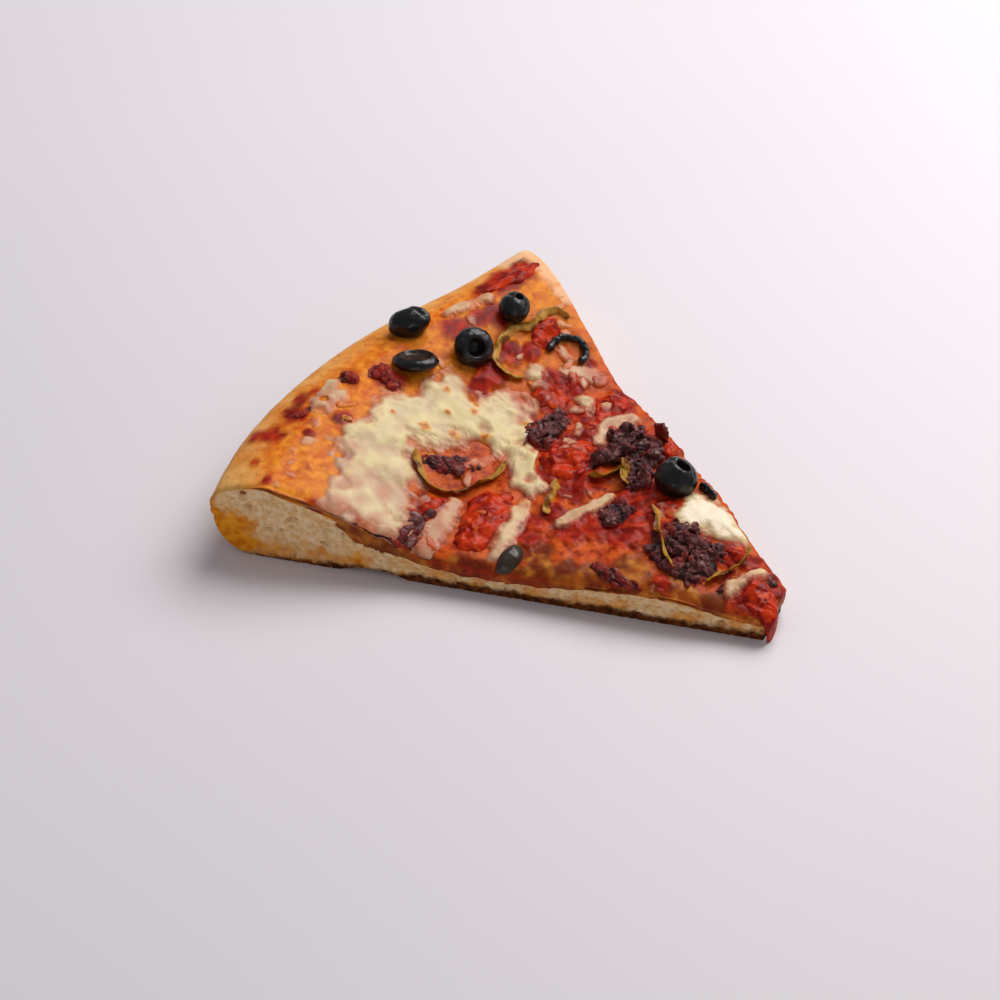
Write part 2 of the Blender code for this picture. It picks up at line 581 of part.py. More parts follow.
def add_piece(name, solid, material):
    """Puts a solid into the scene in metres, with the slice's middle at the origin."""
    points, triangles = solid
    mesh = bpy.data.meshes.new(name)
    middle = CRUST_RADIUS * (math.sin(back_angle(CRUST_RADIUS)) - math.sin(FRONT_ANGLE)) / 2
    origin = (middle, (FOREMOST + FARTHEST) / 2, 0)
    mesh.from_pydata(((points - origin) * MM).tolist(), [], triangles.tolist())
    mesh.materials.append(material)
    mesh.shade_smooth()
    mesh.set_sharp_from_angle(angle=math.radians(50))
    piece = bpy.data.objects.new(name, mesh)
    bpy.context.scene.collection.objects.link(piece)


def build():
    """Lays the slice from the bottom up, so that each piece rests on those before it."""
    for old in list(bpy.data.objects):
        bpy.data.objects.remove(old)
    materials = {kind: make_material(kind) for kind in COLOURS}
    ground = Ground()
    dough, sauce = box_shell(dough_lattice()), box_shell(sauce_lattice())
    ground.add(*dough)
    ground.add(*sauce)
    add_piece("dough", dough, materials["dough"])
    add_piece("sauce", sauce, materials["sauce"])
    for name, (outline, height) in LOW_MEAT.items():
        add_piece(name, lay_patch(ground, outline, height), materials["meat"])
    for name, (line, half_widths, height) in LOW_MEAT_STRIPS.items():
        add_piece(name, lay_strip(ground, line, half_widths, height), materials["meat"])
    add_piece("tomato_drape", lay_drape(ground), materials["tomato"])
    for name, (outline, height) in TOMATOES.items():
        add_piece(name, lay_patch(ground, outline, height, spokes=14), materials["tomato"])
    for name, (line, half_widths, height) in TOMATO_STRIPS.items():
        add_piece(name, lay_strip(ground, line, half_widths, height, count=7), materials["tomato"])
    main = lay_strip(ground, MAIN_CHEESE_LINE, MAIN_CHEESE_HALF_WIDTHS, MAIN_CHEESE_HEIGHT, count=26, across=6)
    add_piece("cheese_main", main, materials["cheese"])
    for name, (outline, height) in CHEESES.items():
        add_piece(name, lay_patch(ground, outline, height, spokes=14), materials["cheese"])
    for name, (line, half_widths, height) in CHEESE_STRIPS.items():
        add_piece(name, lay_strip(ground, line, half_widths, height), materials["cheese"])
    for name, (outline, height) in MEATS.items():
        large = height > LARGE_MEAT_HEIGHT
        solid = lay_patch(ground, outline, height, 18 if large else 12, 3 if large else 2, MEAT_BUMPS)
        add_piece(name, solid, materials["meat"])
    for name, (line, half_widths, height) in MEAT_STRIPS.items():
        add_piece(name, lay_strip(ground, line, half_widths, height, count=8), materials["meat"])
    for name, (line, half_width, count) in PEPPERS.items():
        solid = lay_strip(ground, line, (half_width, half_width), PEPPER_HEIGHT, count)
        add_piece(name, solid, materials["pepper"])
    for name, (line, half_width, count, height) in OLIVE_ARC.items():
        add_piece(name, lay_strip(ground, line, (half_width, half_width), height, count), materials["olive"])
    for name, (outline, height) in OLIVE_CHUNK.items():
        add_piece(name, lay_patch(ground, outline, height, 12, 2), materials["olive"])
    for name, settings in OLIVES.items():
        add_piece(name, lay_olive(ground, *settings), materials["olive"])


build()
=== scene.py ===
"""The looks of a cut slice of thick-crust pizza, as an add-on that is run as a script.

Shapes are worked out in millimetres. A place on the slice is (across, along): along is measured from the
middle of the whole round pizza towards the crust, and across is positive on the back cut and negative on the
front cut.
"""
import itertools
import math

import bpy
import numpy as np
from bpy.props import FloatProperty, FloatVectorProperty, PointerProperty
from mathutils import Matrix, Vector


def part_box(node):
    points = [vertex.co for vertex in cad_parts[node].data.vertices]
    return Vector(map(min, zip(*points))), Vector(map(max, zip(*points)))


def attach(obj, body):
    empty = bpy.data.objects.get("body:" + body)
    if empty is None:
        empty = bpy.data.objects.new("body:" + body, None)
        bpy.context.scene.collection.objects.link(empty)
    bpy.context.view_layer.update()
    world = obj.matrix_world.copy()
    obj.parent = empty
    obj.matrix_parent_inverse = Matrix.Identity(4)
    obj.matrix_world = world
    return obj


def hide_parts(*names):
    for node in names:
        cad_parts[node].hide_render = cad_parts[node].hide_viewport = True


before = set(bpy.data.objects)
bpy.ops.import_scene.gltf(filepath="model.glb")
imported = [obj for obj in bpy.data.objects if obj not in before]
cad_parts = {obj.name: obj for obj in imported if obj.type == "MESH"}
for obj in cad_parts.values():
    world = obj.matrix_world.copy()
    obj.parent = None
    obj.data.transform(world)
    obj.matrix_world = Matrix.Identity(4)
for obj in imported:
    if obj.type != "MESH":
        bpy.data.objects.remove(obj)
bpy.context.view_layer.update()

bl_info = {
    "name": "Pizza Slice",
    "version": (1, 0, 0),
    "blender": (4, 5, 0),
    "location": "View3D > Sidebar > Pizza",
    "description": "Makes a baked pizza slice with cheese, cured meat, tomato, pepper and olives",
    "category": "Object",
}

MM = 0.001

# The slice: a blunt wedge. Its front cut points at the middle of the round pizza, its back cut passes it
FRONT_ANGLE = math.radians(23.9)
BACK_ANGLE = math.radians(25.15)
BACK_SHIFT = 2.3
CRUST_RADIUS = 186.3
SLICE_ORIGIN = (0.807, 98.9, 0.0)
POINT_CUT = 16.0
POINT_SLANT = 2.2
POINT_ROUNDING = 1.2
CRUST_PULLS = (
    (-1, 0.0), (-0.6, 0.0), (-0.3, 1.4), (0.1, 3.6), (0.4, 5.4), (0.62, 5.8), (0.82, 3.6), (1.0, 0.0),
)
PULL_START = 145.0
PULL_END = 176.0
TOP_HEIGHTS = (
    (16, 7.9), (32, 10.6), (50, 12.7), (75, 11.6), (105, 10.9), (124, 12.9), (140, 19.3), (153, 24.9),
    (168, 27.8),
)
CREST_RADIUS = 168.0
CREST_HEIGHT = 27.8
SIDE_HEIGHT = 18.0
FOOT_RADIUS = 173.5
WALL_RADIUS = 184.1
ARCH_RISE = 2.2
ARCH_MIDDLE = 136.0
ARCH_HALF_LENGTH = 11.0
CUT_ROLL = 2.0
CUT_ROLL_WIDTH = 5.0
SAUCE_END = 173.0
SAUCE_THICKNESS = 0.8
SQUEEZE = 0.5

# How far the underside of a topping lies below what carries it, and how far its thinned edge may sink
BURIED = 1.1
DEEPEST_EDGE = -0.7

# Where the topping that runs over the front cut ends, as (radius, height)
FRONT_LIP = (
    (16, 5.0), (31, 6.6), (45, 10.2), (58, 9.4), (70, 9.2), (78, 6.9), (93, 5.7), (110, 5.4), (127, 8.7),
    (138, 10.8), (147, 15.0), (152, 17.5), (156, 23.0), (175, 26.0),
)

# Zones of colour on the topping, as (across, along, radius)
RED_ZONES = (
    (-33, 120, 5), (-38, 121, 4), (22, 139, 6), (15, 139, 4), (33, 140, 5), (38, 136, 4), (47, 137, 5),
    (-5, 157, 4.5), (26, 156, 5), (40, 151, 5), (35, 154, 4), (-14, 168, 3), (-37, 169, 4), (-48, 170, 4),
    (-29, 157, 3), (-37, 147, 3), (28, 112, 5), (30, 120, 6), (27, 117, 4), (36, 125, 4), (33, 104, 6),
    (40, 103, 6), (45, 106, 4), (38, 119, 4), (14, 105, 8), (22, 103, 6), (8, 99, 7), (3, 103, 4),
    (14, 97, 6), (8, 91, 6), (1, 92, 5), (17, 72, 6), (12, 67, 6), (8, 74, 6), (3, 69, 6), (-5, 68, 7),
    (-8, 77, 6), (-14, 81, 5), (-10, 91, 4), (-24, 90, 4), (-18, 93, 4), (6, 38, 5), (8, 31, 4),
    (-2, 24, 7), (4, 22, 5), (-7, 17, 5), (-17, 47, 3), (36, 86, 5), (34, 79, 4), (-65, 156, 2),
    (-53, 119, 3), (-57, 131, 3), (-62, 140, 2.5), (0, 60, 6), (60, 157, 5), (52, 158, 5), (50, 121, 2),
    (56, 161, 5), (64, 159, 4), (47, 161, 4), (-30, 173, 3), (-36, 172, 2.5), (-50, 174, 2.5),
    (-24, 171, 2), (-60, 165, 1.6), (-41, 160, 2), (-47, 166, 2),
)
YELLOW_ZONES = (
    (-33, 79, 6), (-27, 84, 5), (-30, 71, 6), (-24, 65, 5), (-38, 85, 5), (-17, 57, 6), (-14, 45, 5),
    (-15, 38, 4), (-12, 31, 4), (-50, 107, 4), (-45, 99, 5), (-43, 94, 5), (-1, 97, 2), (-3, 15, 5),
    (3, 16, 4), (-20, 51, 5),
)
# Painted light: the back-right corner of the crust, where the key light falls most, is coloured paler.
LIT_CORNER_ZONES = ((71, 156, 7), (69, 148, 6), (68, 165, 7), (73, 163, 8), (64, 141, 4))

# Cheese: the main melt between its two sides, strips by middle line and half widths, and patches by outline
MAIN_CHEESE_INNER = (
    (-8, 97), (-12, 103), (-8, 110), (-3, 115.5), (-7, 120.5), (-8, 126), (-13, 130), (-18.5, 134.5),
    (-24, 128), (-28, 123), (-36.5, 120), (-46.5, 116.5),
)
MAIN_CHEESE_OUTER = (
    (1, 97), (2.5, 107), (11, 111.5), (13, 119), (24, 121.5), (27, 127.5), (19.5, 135.5), (13.5, 140),
    (14, 149.5), (-2, 152), (-13, 157.5), (-24, 154.5), (-36, 159), (-43, 152.5), (-54, 148.5),
    (-62.5, 139), (-61, 131), (-56, 122), (-53, 118),
)
CHEESE_STRIPS = {
    "cheese_rim": ((26.5, 163), (36, 160.8), (47, 156), 3.3, 1.7),
    "cheese_back_b": ((38, 126), (42.5, 122.5), (46, 117.5), (47.5, 112.5), 4.0, 1.2),
    "cheese_edge": ((22, 98.5), (29, 100), (36.5, 98), (42.5, 94.5), 4.0, 1.4),
    "cheese_middle": ((-15.5, 86.8), (-9, 85.5), (-1, 82.8), (7.5, 80), 3.1, 1.7),
    "cheese_point_strip": ((-9.5, 29.5), (-3, 29), (3.0, 27.3), (8, 24.3), 3.3, 2.0),
    "cheese_front_a": ((-22, 117.8), (-31, 115), (-40, 112), (-50, 110.5), 3.4, 1.1),
    "cheese_front_b": ((-9, 101.5), (-17, 98.3), (-27, 95.3), (-38, 92.5), 3.8, 1.5),
}
CHEESE_PATCHES = {
    "cheese_left": (
        ((-19, 175.5), (-12.5, 171), (-17, 165.5), (-19.5, 160), (-26, 159), (-35, 164.5), (-30, 171)),
        1.8,
    ),
    "cheese_back_a": (((28, 133), (31.5, 134.5), (37.5, 132.5), (37, 128), (32.5, 126.5), (28, 129)), 1.6),
    "cheese_back_c": (((36, 117.5), (40, 113), (37.5, 109), (31.5, 108.5), (33, 114)), 1.4),
    "cheese_point_patch": (
        (
            (28.5, 61), (20, 65), (8, 65), (4.5, 57), (8, 48), (8, 41), (13, 32.5), (17.5, 37), (21.5, 44),
            (25, 51),
        ),
        1.9,
    ),
}
THIN_SPOTS = (
    (-48, 149, 6, 0.7), (-57, 145, 5, 0.6), (-40, 147, 4, 0.5), (-30, 127, 4, 0.7), (-34, 156, 4, 0.6),
    (-38, 138, 4, 0.3), (-1, 125, 4, 1.4), (4, 128, 3, 1.0), (-12, 104, 5, 0.8), (17, 122, 5, 0.8),
    (10, 137, 3, 1.0), (-27, 166, 1.6, 1.2), (-33, 148, 3, 0.4), (-49, 140, 3, 0.4), (-3, 105, 2.5, 1.0),
    (3, 112.5, 2.5, 0.9), (8, 117, 2.5, 0.8), (-6, 99.5, 2, 0.8), (6, 147, 2.5, 0.7),
)
TOASTED_SPOTS = (
    (5, 143.3, 1.7), (9, 135, 1.6), (6, 133.5, 1.9), (-11, 139.3, 2.4), (-5, 132.5, 2.3), (-15, 148.5, 1.3),
    (-1, 138.3, 1.4), (2, 126, 2.2), (-4, 126.5, 1.6), (16, 121, 1.6), (-12, 100.5, 1.4), (-28, 156, 1.7),
)
CHEESE_BITS = (
    (-44, 165, 3.2), (-60, 159, 2.0), (-50, 160, 2.2), (-58, 153, 1.8), (-64, 153, 2.2), (-54, 156, 1.4),
    (-41, 171, 1.3), (-28, 156, 2.4), (32.5, 155, 2.6), (34, 137, 1.8), (54, 134, 2.8), (52, 131, 1.6),
    (18, 106, 3.2), (24, 107, 2.8), (13, 104.5, 2.0), (44, 107, 1.6), (-44, 111, 2.2), (-19, 48, 1.6),
    (-53, 166, 1.2), (8, 155, 2.0), (12, 151.5, 1.8), (-15, 120, 2.2), (-9.5, 123, 2.6), (31, 113, 2.4),
    (16, 101, 2.2), (42, 118, 2.0), (28, 122, 1.8), (24, 90, 1.8), (-2, 92, 2.0), (3, 87, 1.6),
    (44, 125, 2.4), (58, 139, 1.8), (-25, 106, 1.6), (-5, 45, 1.4), (41, 121, 3.0), (47, 115, 2.6),
    (30, 126, 3.2), (46, 129, 3.0), (51, 124, 2.6), (38, 106, 2.6), (22, 112, 2.2), (31, 96, 2.4),
    (-36, 162, 3.0), (-43, 158, 2.6), (-24, 160, 2.4),
)

BIT_TURN = math.radians(137.5)

# Tomato and cured meat by outline and height; the tomato that hangs over the point by (across, along, drop)
TOMATOES = {
    "tomato_crust": (
        ((45, 160), (52, 161.5), (62, 163.5), (68, 157.5), (65, 153.5), (58, 153.5), (50, 157)),
        1.7,
    ),
    "tomato_front": (
        (
            (-21, 113.5), (-14, 110.5), (-13, 105), (-19, 99), (-27, 97.5), (-37, 98.5), (-40, 104),
            (-33, 110),
        ),
        3.2,
    ),
    "tomato_front_bit": (((-39, 119), (-32, 122.5), (-25, 120), (-29, 117)), 1.6),
    "tomato_middle": (((2, 103), (7, 108), (15, 108), (22, 103), (19, 97.5), (9, 94), (3, 97)), 2.8),
    "tomato_back": (
        ((40, 112), (46, 107), (44.5, 101), (36, 100.5), (29, 102.5), (26, 106.5), (33, 107)),
        2.0,
    ),
    "tomato_curl": (((40, 137), (44, 139.5), (50, 139.5), (54, 137), (50, 133.5), (43, 133.5)), 1.5),
    "tomato_upper": (((25, 127), (32, 125), (37, 121.5), (34, 118), (29, 116), (26, 121)), 1.5),
    "tomato_small": (((12, 65.5), (16, 61), (13, 58), (7, 61)), 1.7),
    "tomato_point": (((2, 35.5), (5, 39.5), (9.5, 39), (12, 35), (7, 32.5)), 2.0),
    "tomato_back_edge": (((36, 89), (39, 85), (36, 77), (31.5, 75.5), (30, 77.5), (32, 85)), 2.0),
}
DRAPE_LINE = (
    (-1.6, 26, 0), (-2.0, 22, 0), (-2.8, 18.5, 0), (-4.2, 16.2, 0), (-5.2, 14.9, -2.0), (-5.8, 14.6, -4.4),
    (-6.4, 14.6, -7.6),
)
DRAPE_HALF_WIDTHS = (3.0, 5.0, 5.2, 4.0, 2.7, 2.0, 0.8)
DRAPE_REACH = 1.8
MEATS = {
    "meat_in_curl": (
        ((-21, 130.5), (-19.5, 134), (-13, 130.5), (-8, 124.5), (-8.5, 119.5), (-13, 121.5), (-19, 126)),
        2.2,
    ),
    "meat_front": (((-52, 117.5), (-45, 121), (-39, 123.5), (-34, 121), (-36, 116), (-44, 113.5)), 2.0),
    "meat_under_cheese": (
        (
            (-62, 139), (-59.5, 134), (-57, 129), (-56, 123), (-51, 118.5), (-52, 116.5), (-56, 121),
            (-59.5, 129),
        ),
        1.5,
    ),
    "meat_point_edge": (
        ((-9, 33.5), (-2, 31.5), (4, 26.5), (9, 22), (6, 20), (1.5, 23.5), (-3, 27), (-9, 31)),
        1.6,
    ),
    "meat_large": (
        (
            (28.5, 99.5), (32, 97), (38.5, 94), (36, 89), (33.5, 84), (30, 79), (22, 76.5), (15, 73),
            (11, 77), (14, 83), (20, 86.5), (17, 91), (13, 92.5), (18, 96.5), (24, 95),
        ),
        4.6,
    ),
    "meat_middle": (
        ((11.5, 118), (15, 120.5), (22, 118.5), (27, 115), (25, 111), (18, 109.5), (12.5, 110)),
        2.6,
    ),
    "meat_small": (((-6, 76.5), (-2, 79.5), (4, 78.5), (6, 75), (1, 70.5), (-5, 71.5)), 2.4),
    "meat_point": (
        (
            (-9, 57), (0, 60.5), (6, 58.5), (8, 52.5), (6.5, 46), (7, 40), (1, 37), (-7, 37.5), (-12.5, 41),
            (-12, 49),
        ),
        3.4,
    ),
    "meat_front_slope": (
        ((-23.5, 66), (-21, 68), (-20, 63), (-20.5, 56), (-21, 51), (-24, 49.5), (-26, 53), (-25, 60)),
        2.0,
    ),
    "meat_crust_a": (((-52, 170), (-48.5, 173.5), (-42.5, 172), (-45, 168), (-50.5, 167)), 1.3),
    "meat_crust_b": (((-40, 170.5), (-35.5, 170.5), (-32, 167.5), (-36, 166)), 1.1),
    "meat_crust_c": (((-16.5, 167), (-12, 170.5), (-10.5, 166.5), (-14, 163.5)), 1.3),
    "meat_crust_d": (
        ((-9, 163), (-4.5, 165), (-1, 163), (-3, 158), (-5, 153.5), (-9, 155), (-7.5, 159)),
        1.3,
    ),
}
LOW_MEATS = ("meat_in_curl", "meat_front", "meat_under_cheese", "meat_point_edge")
RUDDY_MEATS = (
    "meat_crust_a", "meat_crust_b", "meat_crust_c", "meat_crust_d", "meat_point_edge", "meat_front_slope",
)
MEAT_CURL_LINE = ((37, 86.5), (36.2, 83.5), (34.5, 80.5))

# Green pepper and thin olive pieces: middle line, half width, half height
PEPPERS = {
    "pepper_curl_back": (
        (
            (56.5, 134), (56, 138), (52, 140.5), (45, 140.5), (41.5, 143.5), (36, 144), (30, 143),
            (26.5, 140.5), (25.5, 137), (26.5, 133.5), (29, 131),
        ),
        1.35,
        0.38,
    ),
    "pepper_curl_middle": (
        (
            (-19.5, 136), (-24, 131), (-26, 125.5), (-22.5, 119.5), (-16.5, 116.2), (-9, 114.7),
            (-1.5, 115.2),
        ),
        1.7,
        0.36,
    ),
    "pepper_strip_large": (
        ((9, 91.5), (12, 87.5), (17, 86.5), (19, 84.5), (14, 82), (11.5, 79)),
        2.3,
        0.36,
    ),
    "pepper_strip_middle": (((1.5, 98), (-3, 96), (-8, 94.5), (-12.5, 92)), 1.5, 0.34),
    "pepper_strip_point": (((8, 67), (5, 63), (0, 60), (-4, 55.5), (-8, 51), (-11, 46.5)), 1.4, 0.32),
    "pepper_point": (((-8, 37), (-3, 35.5), (3, 33), (8, 33), (12, 35.5)), 1.2, 0.32),
}
OLIVE_RIBBONS = {
    "olive_arc": (
        ((42.5, 131.5), (45, 132.5), (49, 131.8), (52, 129.2), (52.7, 126), (50.5, 123.2), (46.5, 122.6)),
        1.1,
        1.2,
    ),
    "olive_sliver": (((26, 62), (24.8, 58.5), (23, 54.5)), 0.95, 1.4),
}
OLIVE_CHUNK = ((-40, 89.5), (-37, 91.5), (-32, 92), (-28.5, 90), (-30, 87), (-34, 85.8), (-38, 86.8))

# Olives: axis, half width, half length, hole radius and depth, and the depth of the crease in a shrunken one
OLIVES = {
    "olive_crust": ((0.55, -0.72, 0.30), 5.0, 6.8, 0.0, 0.0, 1.7),
    "olive_ring": ((-0.42, -0.68, 0.60), 6.7, 5.0, 3.4, 6.0, 0.0),
    "olive_cap": ((0.25, -0.25, 0.93), 5.2, 5.0, 1.6, 3.5, 0.5),
    "olive_slice": ((0.27, 0.21, 0.94), 7.4, 3.0, 5.4, 1.3, 0.2),
    "olive_point": ((0.30, -0.30, 0.90), 6.8, 6.4, 2.8, 5.0, 0.5),
}

# The camera stands where the photograph was taken from
CAMERA_AZIMUTH = math.radians(-52.5)
CAMERA_ELEVATION = math.radians(42.2)
CAMERA_DISTANCE = 900.0
CAMERA_TARGET = (-5.5, 114.6, 0.0)
CAMERA_LENS = 105.17

MIX_FACTOR, MIX_A, MIX_B, MIX_RESULT = 0, 6, 7, 2
MEAT_MATERIAL = "crumbled_cured_pork"
TOPPING_KINDS = {"cheese": "melt", "tomato": "piece", "meat": "crumble", "pepper": "strip", "olive": "skin"}


def linear(code):
    """Turns an sRGB hex colour into linear red, green and blue."""
    values = [int(code[start:start + 2], 16) / 255 for start in (1, 3, 5)]
    return tuple(v / 12.92 if v <= 0.04045 else ((v + 0.055) / 1.055) ** 2.4 for v in values)


def length_setting(name, description, default):
    """A length in metres for the panel."""
    return FloatProperty(name=name, description=description, default=default, unit="LENGTH")


def colour_setting(name, description, code):
    """A colour for the panel, given by its hex code."""
    return FloatVectorProperty(name=name, description=description, default=linear(code), subtype="COLOR")


class PizzaSizes(bpy.types.PropertyGroup):
    """Sizes that change how the slice is baked and dressed."""

    crumb_depth: length_setting("Crumb depth", "Depth of the holes in the torn crumb", 0.8 * MM)
    cheese_height: length_setting("Cheese height", "Thickness of the main melt at its middle", 2.1 * MM)
    sauce_lumps: length_setting("Sauce lumps", "Height of the lumps in the sauce", 0.9 * MM)
    meat_granules: length_setting("Meat granules", "Size of the crumbs of the cured meat", 3.4 * MM)
    floor_width: length_setting("Floor width", "Width of the studio floor", 6.0)


class PizzaColours(bpy.types.PropertyGroup):
    """Colours of the food and of the studio."""

    bread: colour_setting("Bread", "Dry golden skin of the crust", "#D98A30")
    crumb: colour_setting("Crumb", "Inside of the bread", "#E4B983")
    oil: colour_setting("Oil", "Orange fat soaked into the crust", "#D4741A")
    sauce: colour_setting("Sauce", "Oily sauce between the pieces", "#B2420E")
    tomato: colour_setting("Tomato", "Cooked tomato", "#9C1E0E")
    cheese: colour_setting("Cheese", "Thick melted cheese", "#D9C793")
    meat: colour_setting("Meat", "Dark cured meat", "#4C1F1F")
    pepper: colour_setting("Pepper", "Cooked green pepper", "#A87C20")
    olive: colour_setting("Olive", "Black olive skin", "#0D0C0F")
    floor: colour_setting("Floor", "Pale studio floor", "#D8D4D9")


def smooth_step(low, high, value):
    """Rises from 0 at low to 1 at high, level at both ends."""
    share = np.clip((value - low) / (high - low), 0.0, 1.0)
    return share * share * (3.0 - 2.0 * share)


def corner_numbers(corner, seed):
    """Three repeatable numbers from -1 to 1 for each whole-numbered corner, by mixing the bits of its
    numbers.
    """
    east, north, up = np.moveaxis(corner.astype(np.int64), -1, 0)
    key = east * 374761393 + north * 668265263 + up * 1440662683 + seed * 1274126177
    key = (key ^ (key >> 13)) * 1103515245
    key = key ^ (key >> 16)
    return ((key[..., None] >> np.array([0, 10, 20])) & 1023) / 511.5 - 1.0


def noise(x, y, z=0.0, size=1.0, seed=0):
    """Smooth noise from about -1 to 1: every corner of a grid has a random slope, and the slopes are
    blended.
    """
    points = np.stack(np.broadcast_arrays(x, y, z), -1) / size
    cell = np.floor(points)
    part = points - cell
    blend = part ** 3 * (part * (part * 6 - 15) + 10)
    total = np.zeros(points.shape[:-1])
    for corner in itertools.product((0, 1), repeat=3):
        offset = part - corner
        weight = np.prod(np.where(np.array(corner) == 1, blend, 1 - blend), axis=-1)
        total += weight * (corner_numbers(cell + corner, seed) * offset).sum(-1)
    return 1.5 * total


def shift_by_noise(points, size, seed):
    """A smooth random shift for each point, in all three directions."""
    return np.column_stack([noise(*points.T, size=size, seed=seed + axis) for axis in range(3)])


def cells(x, y, z=0.0, size=1.0, seed=0):
    """Distance to the nearest of the seeds scattered one to a cell, in cell sizes, and that seed's own
    number.
    """
    points = np.stack(np.broadcast_arrays(x, y, z), -1) / size
    cell = np.floor(points)
    nearest = np.full(points.shape[:-1], 9.0)
    own = np.zeros(points.shape[:-1])
    for step in itertools.product((-1, 0, 1), repeat=3):
        numbers = corner_numbers(cell + step, seed)
        distance = np.linalg.norm(cell + step + 0.5 + 0.45 * numbers - points, axis=-1)
        own = np.where(distance < nearest, numbers[..., 0], own)
        nearest = np.minimum(nearest, distance)
    return nearest, own


def through(points, value):
    """A smooth curve through (place, height) points, read at value."""
    places, heights = np.array(points, dtype=float).T
    slopes = np.gradient(heights, places)
    value = np.clip(value, places[0], places[-1])
    cell = np.clip(np.searchsorted(places, value) - 1, 0, len(places) - 2)
    span = places[cell + 1] - places[cell]
    t = (value - places[cell]) / span
    start = heights[cell] * (1 + 2 * t) * (1 - t) ** 2 + slopes[cell] * span * t * (1 - t) ** 2
    end = heights[cell + 1] * t ** 2 * (3 - 2 * t) - slopes[cell + 1] * span * t ** 2 * (1 - t)
    return start + end


def spread(values, count):
    """Reads a row of values at evenly spread places from the first to the last."""
    return np.interp(np.linspace(0, 1, count), np.linspace(0, 1, len(values)), values)


def curve_through(points, count, closed=False):
    """Points spread evenly along a smooth curve through the given ones."""
    points = np.array(points, dtype=float)
    if closed:
        padded = np.vstack([points[-1:], points, points[:2]])
    else:
        padded = np.vstack([2 * points[0] - points[1], points, 2 * points[-1] - points[-2]])
    t = np.linspace(0, 1, 24, endpoint=False)[None, :, None]
    before, start, end, after = (padded[shift:len(padded) - 3 + shift, None] for shift in range(4))
    fine = 0.5 * (
        2 * start + (end - before) * t
        + (2 * before - 5 * start + 4 * end - after) * t ** 2
        + (3 * start - before - 3 * end + after) * t ** 3
    )
    fine = np.vstack([fine.reshape(-1, points.shape[1]), padded[-2:-1]])
    travelled = np.append(0.0, np.cumsum(np.linalg.norm(np.diff(fine, axis=0), axis=1)))
    wanted = np.linspace(0, travelled[-1], count, endpoint=not closed)
    return np.column_stack([np.interp(wanted, travelled, fine[:, axis]) for axis in range(points.shape[1])])


def zone_mask(zones, x, y, roughness=0.35, seed=31):
    """How far places lie inside a set of round zones, from 0 to 1, with ragged edges."""
    outside = np.ones(np.shape(x))
    wobble = 1 + roughness * noise(x, y, size=4.0, seed=seed)
    wobble = wobble + 0.5 * roughness * noise(x, y, size=1.6, seed=seed + 1)
    for across, along, radius in zones:
        distance = np.hypot(x - across, y - along) / (radius * wobble)
        outside = outside * (1 - smooth_step(1.3, 0.7, distance))
    return 1 - outside


def back_angle(radius):
    """Angle of the back cut, seen from the middle of the round pizza, at each radius."""
    return BACK_ANGLE - np.arcsin(BACK_SHIFT / np.maximum(radius, 2 * BACK_SHIFT))


def share_across(x, y):
    """Share of the way from the front cut, at -1, to the back cut, at 1."""
    angle = np.arctan2(x, y) + FRONT_ANGLE
    return np.clip(2 * angle / (FRONT_ANGLE + back_angle(np.hypot(x, y))) - 1, -1, 1)


def full_radius(radius, share):
    """The radius that a place would have if the crust were a full circle, found by going back over the
    pull.
    """
    pull = through(CRUST_PULLS, share)
    full = radius
    for _ in range(6):
        full = radius + pull * smooth_step(PULL_START, PULL_END, full)
    return full


def slice_plan(rows, columns, start_gap, full_end):
    """Radius, across, along and share of a grid over the slice, from the point to one full radius."""
    share = np.linspace(-1, 1, columns + 1)[None, :]
    start = (POINT_CUT + start_gap) / math.cos(FRONT_ANGLE) + POINT_SLANT * ((share + 1) / 2) ** 2
    start = start - POINT_ROUNDING * (1 - share ** 2)
    end = full_end - through(CRUST_PULLS, share) * smooth_step(PULL_START, PULL_END, full_end)
    radius = start + np.linspace(0, 1, rows + 1)[:, None] * (end - start)
    angle = -FRONT_ANGLE + (share + 1) / 2 * (FRONT_ANGLE + back_angle(radius))
    return radius, radius * np.sin(angle), radius * np.cos(angle), np.broadcast_to(share, radius.shape)


def from_front(x, y):
    """Distance from the front cut, positive inside the slice."""
    return x * math.cos(FRONT_ANGLE) + y * math.sin(FRONT_ANGLE)


def from_back(x, y):
    """Distance from the back cut, positive inside the slice."""
    return -x * math.cos(BACK_ANGLE) + y * math.sin(BACK_ANGLE) - BACK_SHIFT


def overhang(radius):
    """How far the topping bulges out beyond the back cut: most half way along it."""
    return 0.3 + 1.9 * smooth_step(44, 60, radius) * smooth_step(120, 104, radius)


def base_height(x, y):
    """Smooth height of the slice's upper side: the bed's curve, an arc over the rim, and a roll towards the
    cuts.
    """
    radius = full_radius(np.hypot(x, y), share_across(x, y))
    over = np.clip((radius - CREST_RADIUS) / (CRUST_RADIUS - CREST_RADIUS), 0, 1)
    arc = SIDE_HEIGHT + (CREST_HEIGHT - SIDE_HEIGHT) * np.sqrt(1 - over ** 2)
    height = np.where(radius > CREST_RADIUS, arc, through(TOP_HEIGHTS, radius))
    front_roll = (1 - np.clip(from_front(x, y) / CUT_ROLL_WIDTH, 0, 1)) ** 2
    front_roll = front_roll * (1 - 0.6 * smooth_step(150, 170, radius))
    back_roll = 0.3 * (1 - np.clip((from_back(x, y) + overhang(radius)) / CUT_ROLL_WIDTH, 0, 1)) ** 2
    broad = 0.7 * noise(x, y, size=19.0, seed=3) * smooth_step(POINT_CUT - 2, 40, radius)
    return height - CUT_ROLL * (front_roll + back_roll) + broad * (1 - smooth_step(172, 182, radius))


